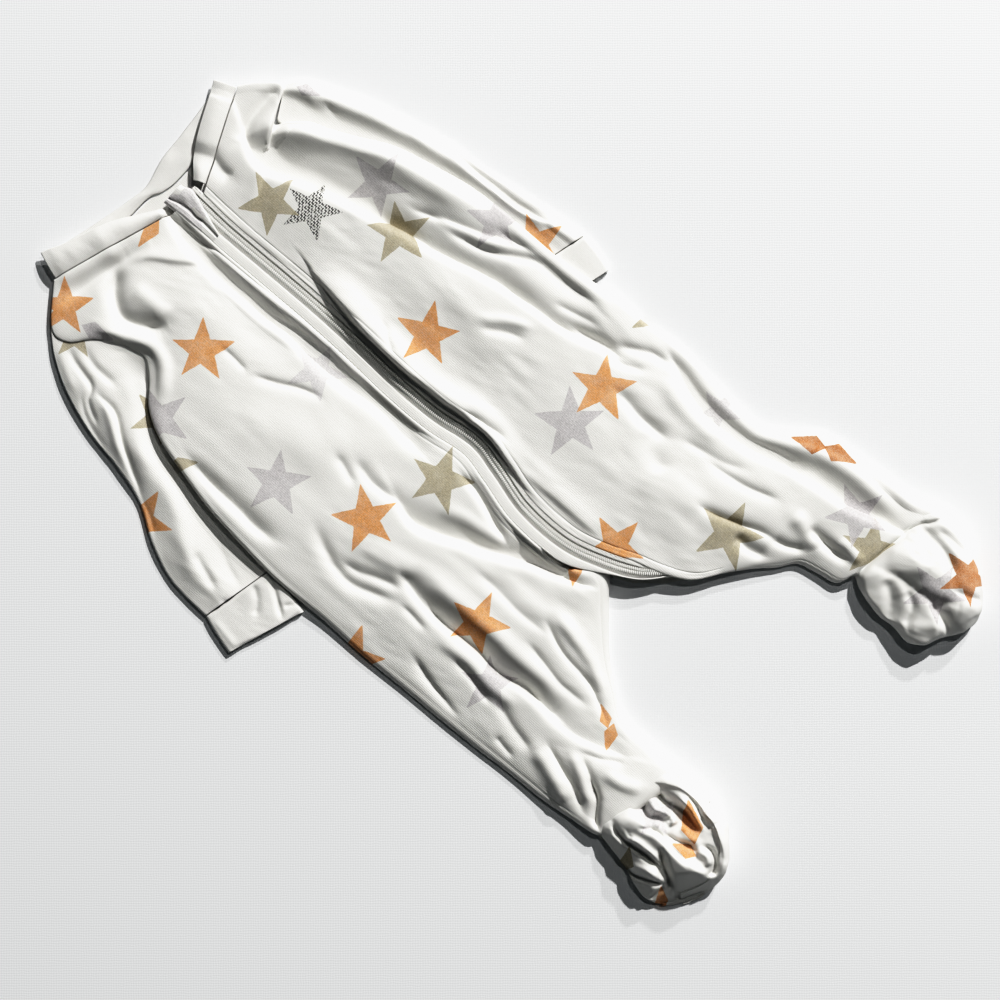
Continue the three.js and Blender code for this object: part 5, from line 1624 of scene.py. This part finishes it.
# The ankle band, turned back round the right foot's toe
foot = feet["foot_right"]
start = foot.share_at(ANKLE_BAND["from"])
sweep = (ANKLE_BAND["to"] - ANKLE_BAND["from"]) / 360
rings = np.linspace(ANKLE_BAND["first"], ANKLE_BAND["last"], int(50 * FINE))
share = start + sweep * np.linspace(0, 1, int(150 * FINE))
points = foot.skin(rings[:, None], share[None, :], out=ANKLE_BAND["out"])
mesh = grid_mesh("ankle_band_cloth", points)
face_up(mesh, middle=True)
obj = add_object("ankle_band_cloth", mesh, RIB_CLOTH, ["ankle_band_right"])
thicken(obj, THICK["ankle_band"])
area = round(cloth_area(points), 5)

# Floor, light
FLOOR_SIZE = 12.0
FLOOR_WEAVE = {"Scale": 210.0, "Distortion": 2.5, "Detail": 3.0}
FLOOR_TONES = ((0.86, 0.87, 0.885, 1.0), (0.88, 0.89, 0.905, 1.0))
WORLD_COLOUR = (0.84, 0.94, 0.97, 1.0)
WORLD_STRENGTH = 0.05


def floor():
    """A pale woven ground, whose threads run square to the photograph."""
    size = FLOOR_SIZE
    mesh = bpy.data.meshes.new("floor")
    corners = [(-size, -size, 0), (size, -size, 0), (size, size, 0), (-size, size, 0)]
    mesh.from_pydata(corners, [], [(0, 1, 2, 3)])
    obj = bpy.data.objects.new("floor", mesh)
    bpy.context.scene.collection.objects.link(obj)
    material, net, shader, place = new_material("floor", {"Roughness": 0.9})
    square = net.node("ShaderNodeMapping", {"Vector": place, "Rotation": (0, 0, math.pi / 2 - TURN)})
    weave = {"Vector": square.outputs[0], **FLOOR_WEAVE}
    warp, weft = (net.node("ShaderNodeTexWave", weave, bands_direction=way) for way in ("X", "Y"))
    net.bump(shader, net.math("ADD", warp.outputs["Fac"], weft.outputs["Fac"]), 0.16, 0.0002)
    tone = net.mix(net.noise(place, 3.0, 2.0), *FLOOR_TONES)
    net.tree.links.new(tone, shader.inputs["Base Color"])
    mesh.materials.append(material)


floor()


def area_light(name, toward, distance, size, energy, colour):
    """A square lamp in a direction given in the photograph's right and up, aimed at the garment."""
    right, up, high = toward
    x = right * PHOTO_RIGHT[0] + up * PHOTO_UP[0]
    y = right * PHOTO_RIGHT[1] + up * PHOTO_UP[1]
    length = math.sqrt(x * x + y * y + high * high)
    lamp = bpy.data.lights.new(name, "AREA")
    lamp.size = size
    lamp.energy = energy
    lamp.color = colour
    obj = bpy.data.objects.new(name, lamp)
    obj.location = (x / length * distance, y / length * distance, high / length * distance)
    obj.rotation_euler = (-Vector(obj.location)).to_track_quat("-Z", "Y").to_euler()
    bpy.context.scene.collection.objects.link(obj)


area_light("key", (0.42, 0.64, 0.64), 6.0, 0.11, 350.0, (1.0, 0.99, 0.97))
area_light("low", (0.40, 0.78, 0.52), 6.0, 0.19, 88.0, (1.0, 0.99, 0.98))
area_light("high", (0.26, 0.40, 0.88), 6.0, 0.19, 46.0, (1.0, 0.99, 0.98))

world = bpy.data.worlds.new("studio")
world.use_nodes = True
world.node_tree.nodes["Background"].inputs["Color"].default_value = WORLD_COLOUR
world.node_tree.nodes["Background"].inputs["Strength"].default_value = WORLD_STRENGTH
bpy.context.scene.world = world

# The photograph's print has deep shade and held whites
TONE = [(0.075, 0.020), (0.17, 0.085), (0.33, 0.245), (0.55, 0.525), (0.75, 0.76), (0.88, 0.885)]
TONE_WHITE = 0.955
view = bpy.context.scene.view_settings
view.view_transform = "Standard"
view.use_curve_mapping = True
tone_curve = view.curve_mapping.curves[3]
for dark, light in TONE:
    tone_curve.points.new(dark, light)
tone_curve.points[-1].location = (1.0, TONE_WHITE)
view.curve_mapping.extend = "HORIZONTAL"
view.curve_mapping.update()
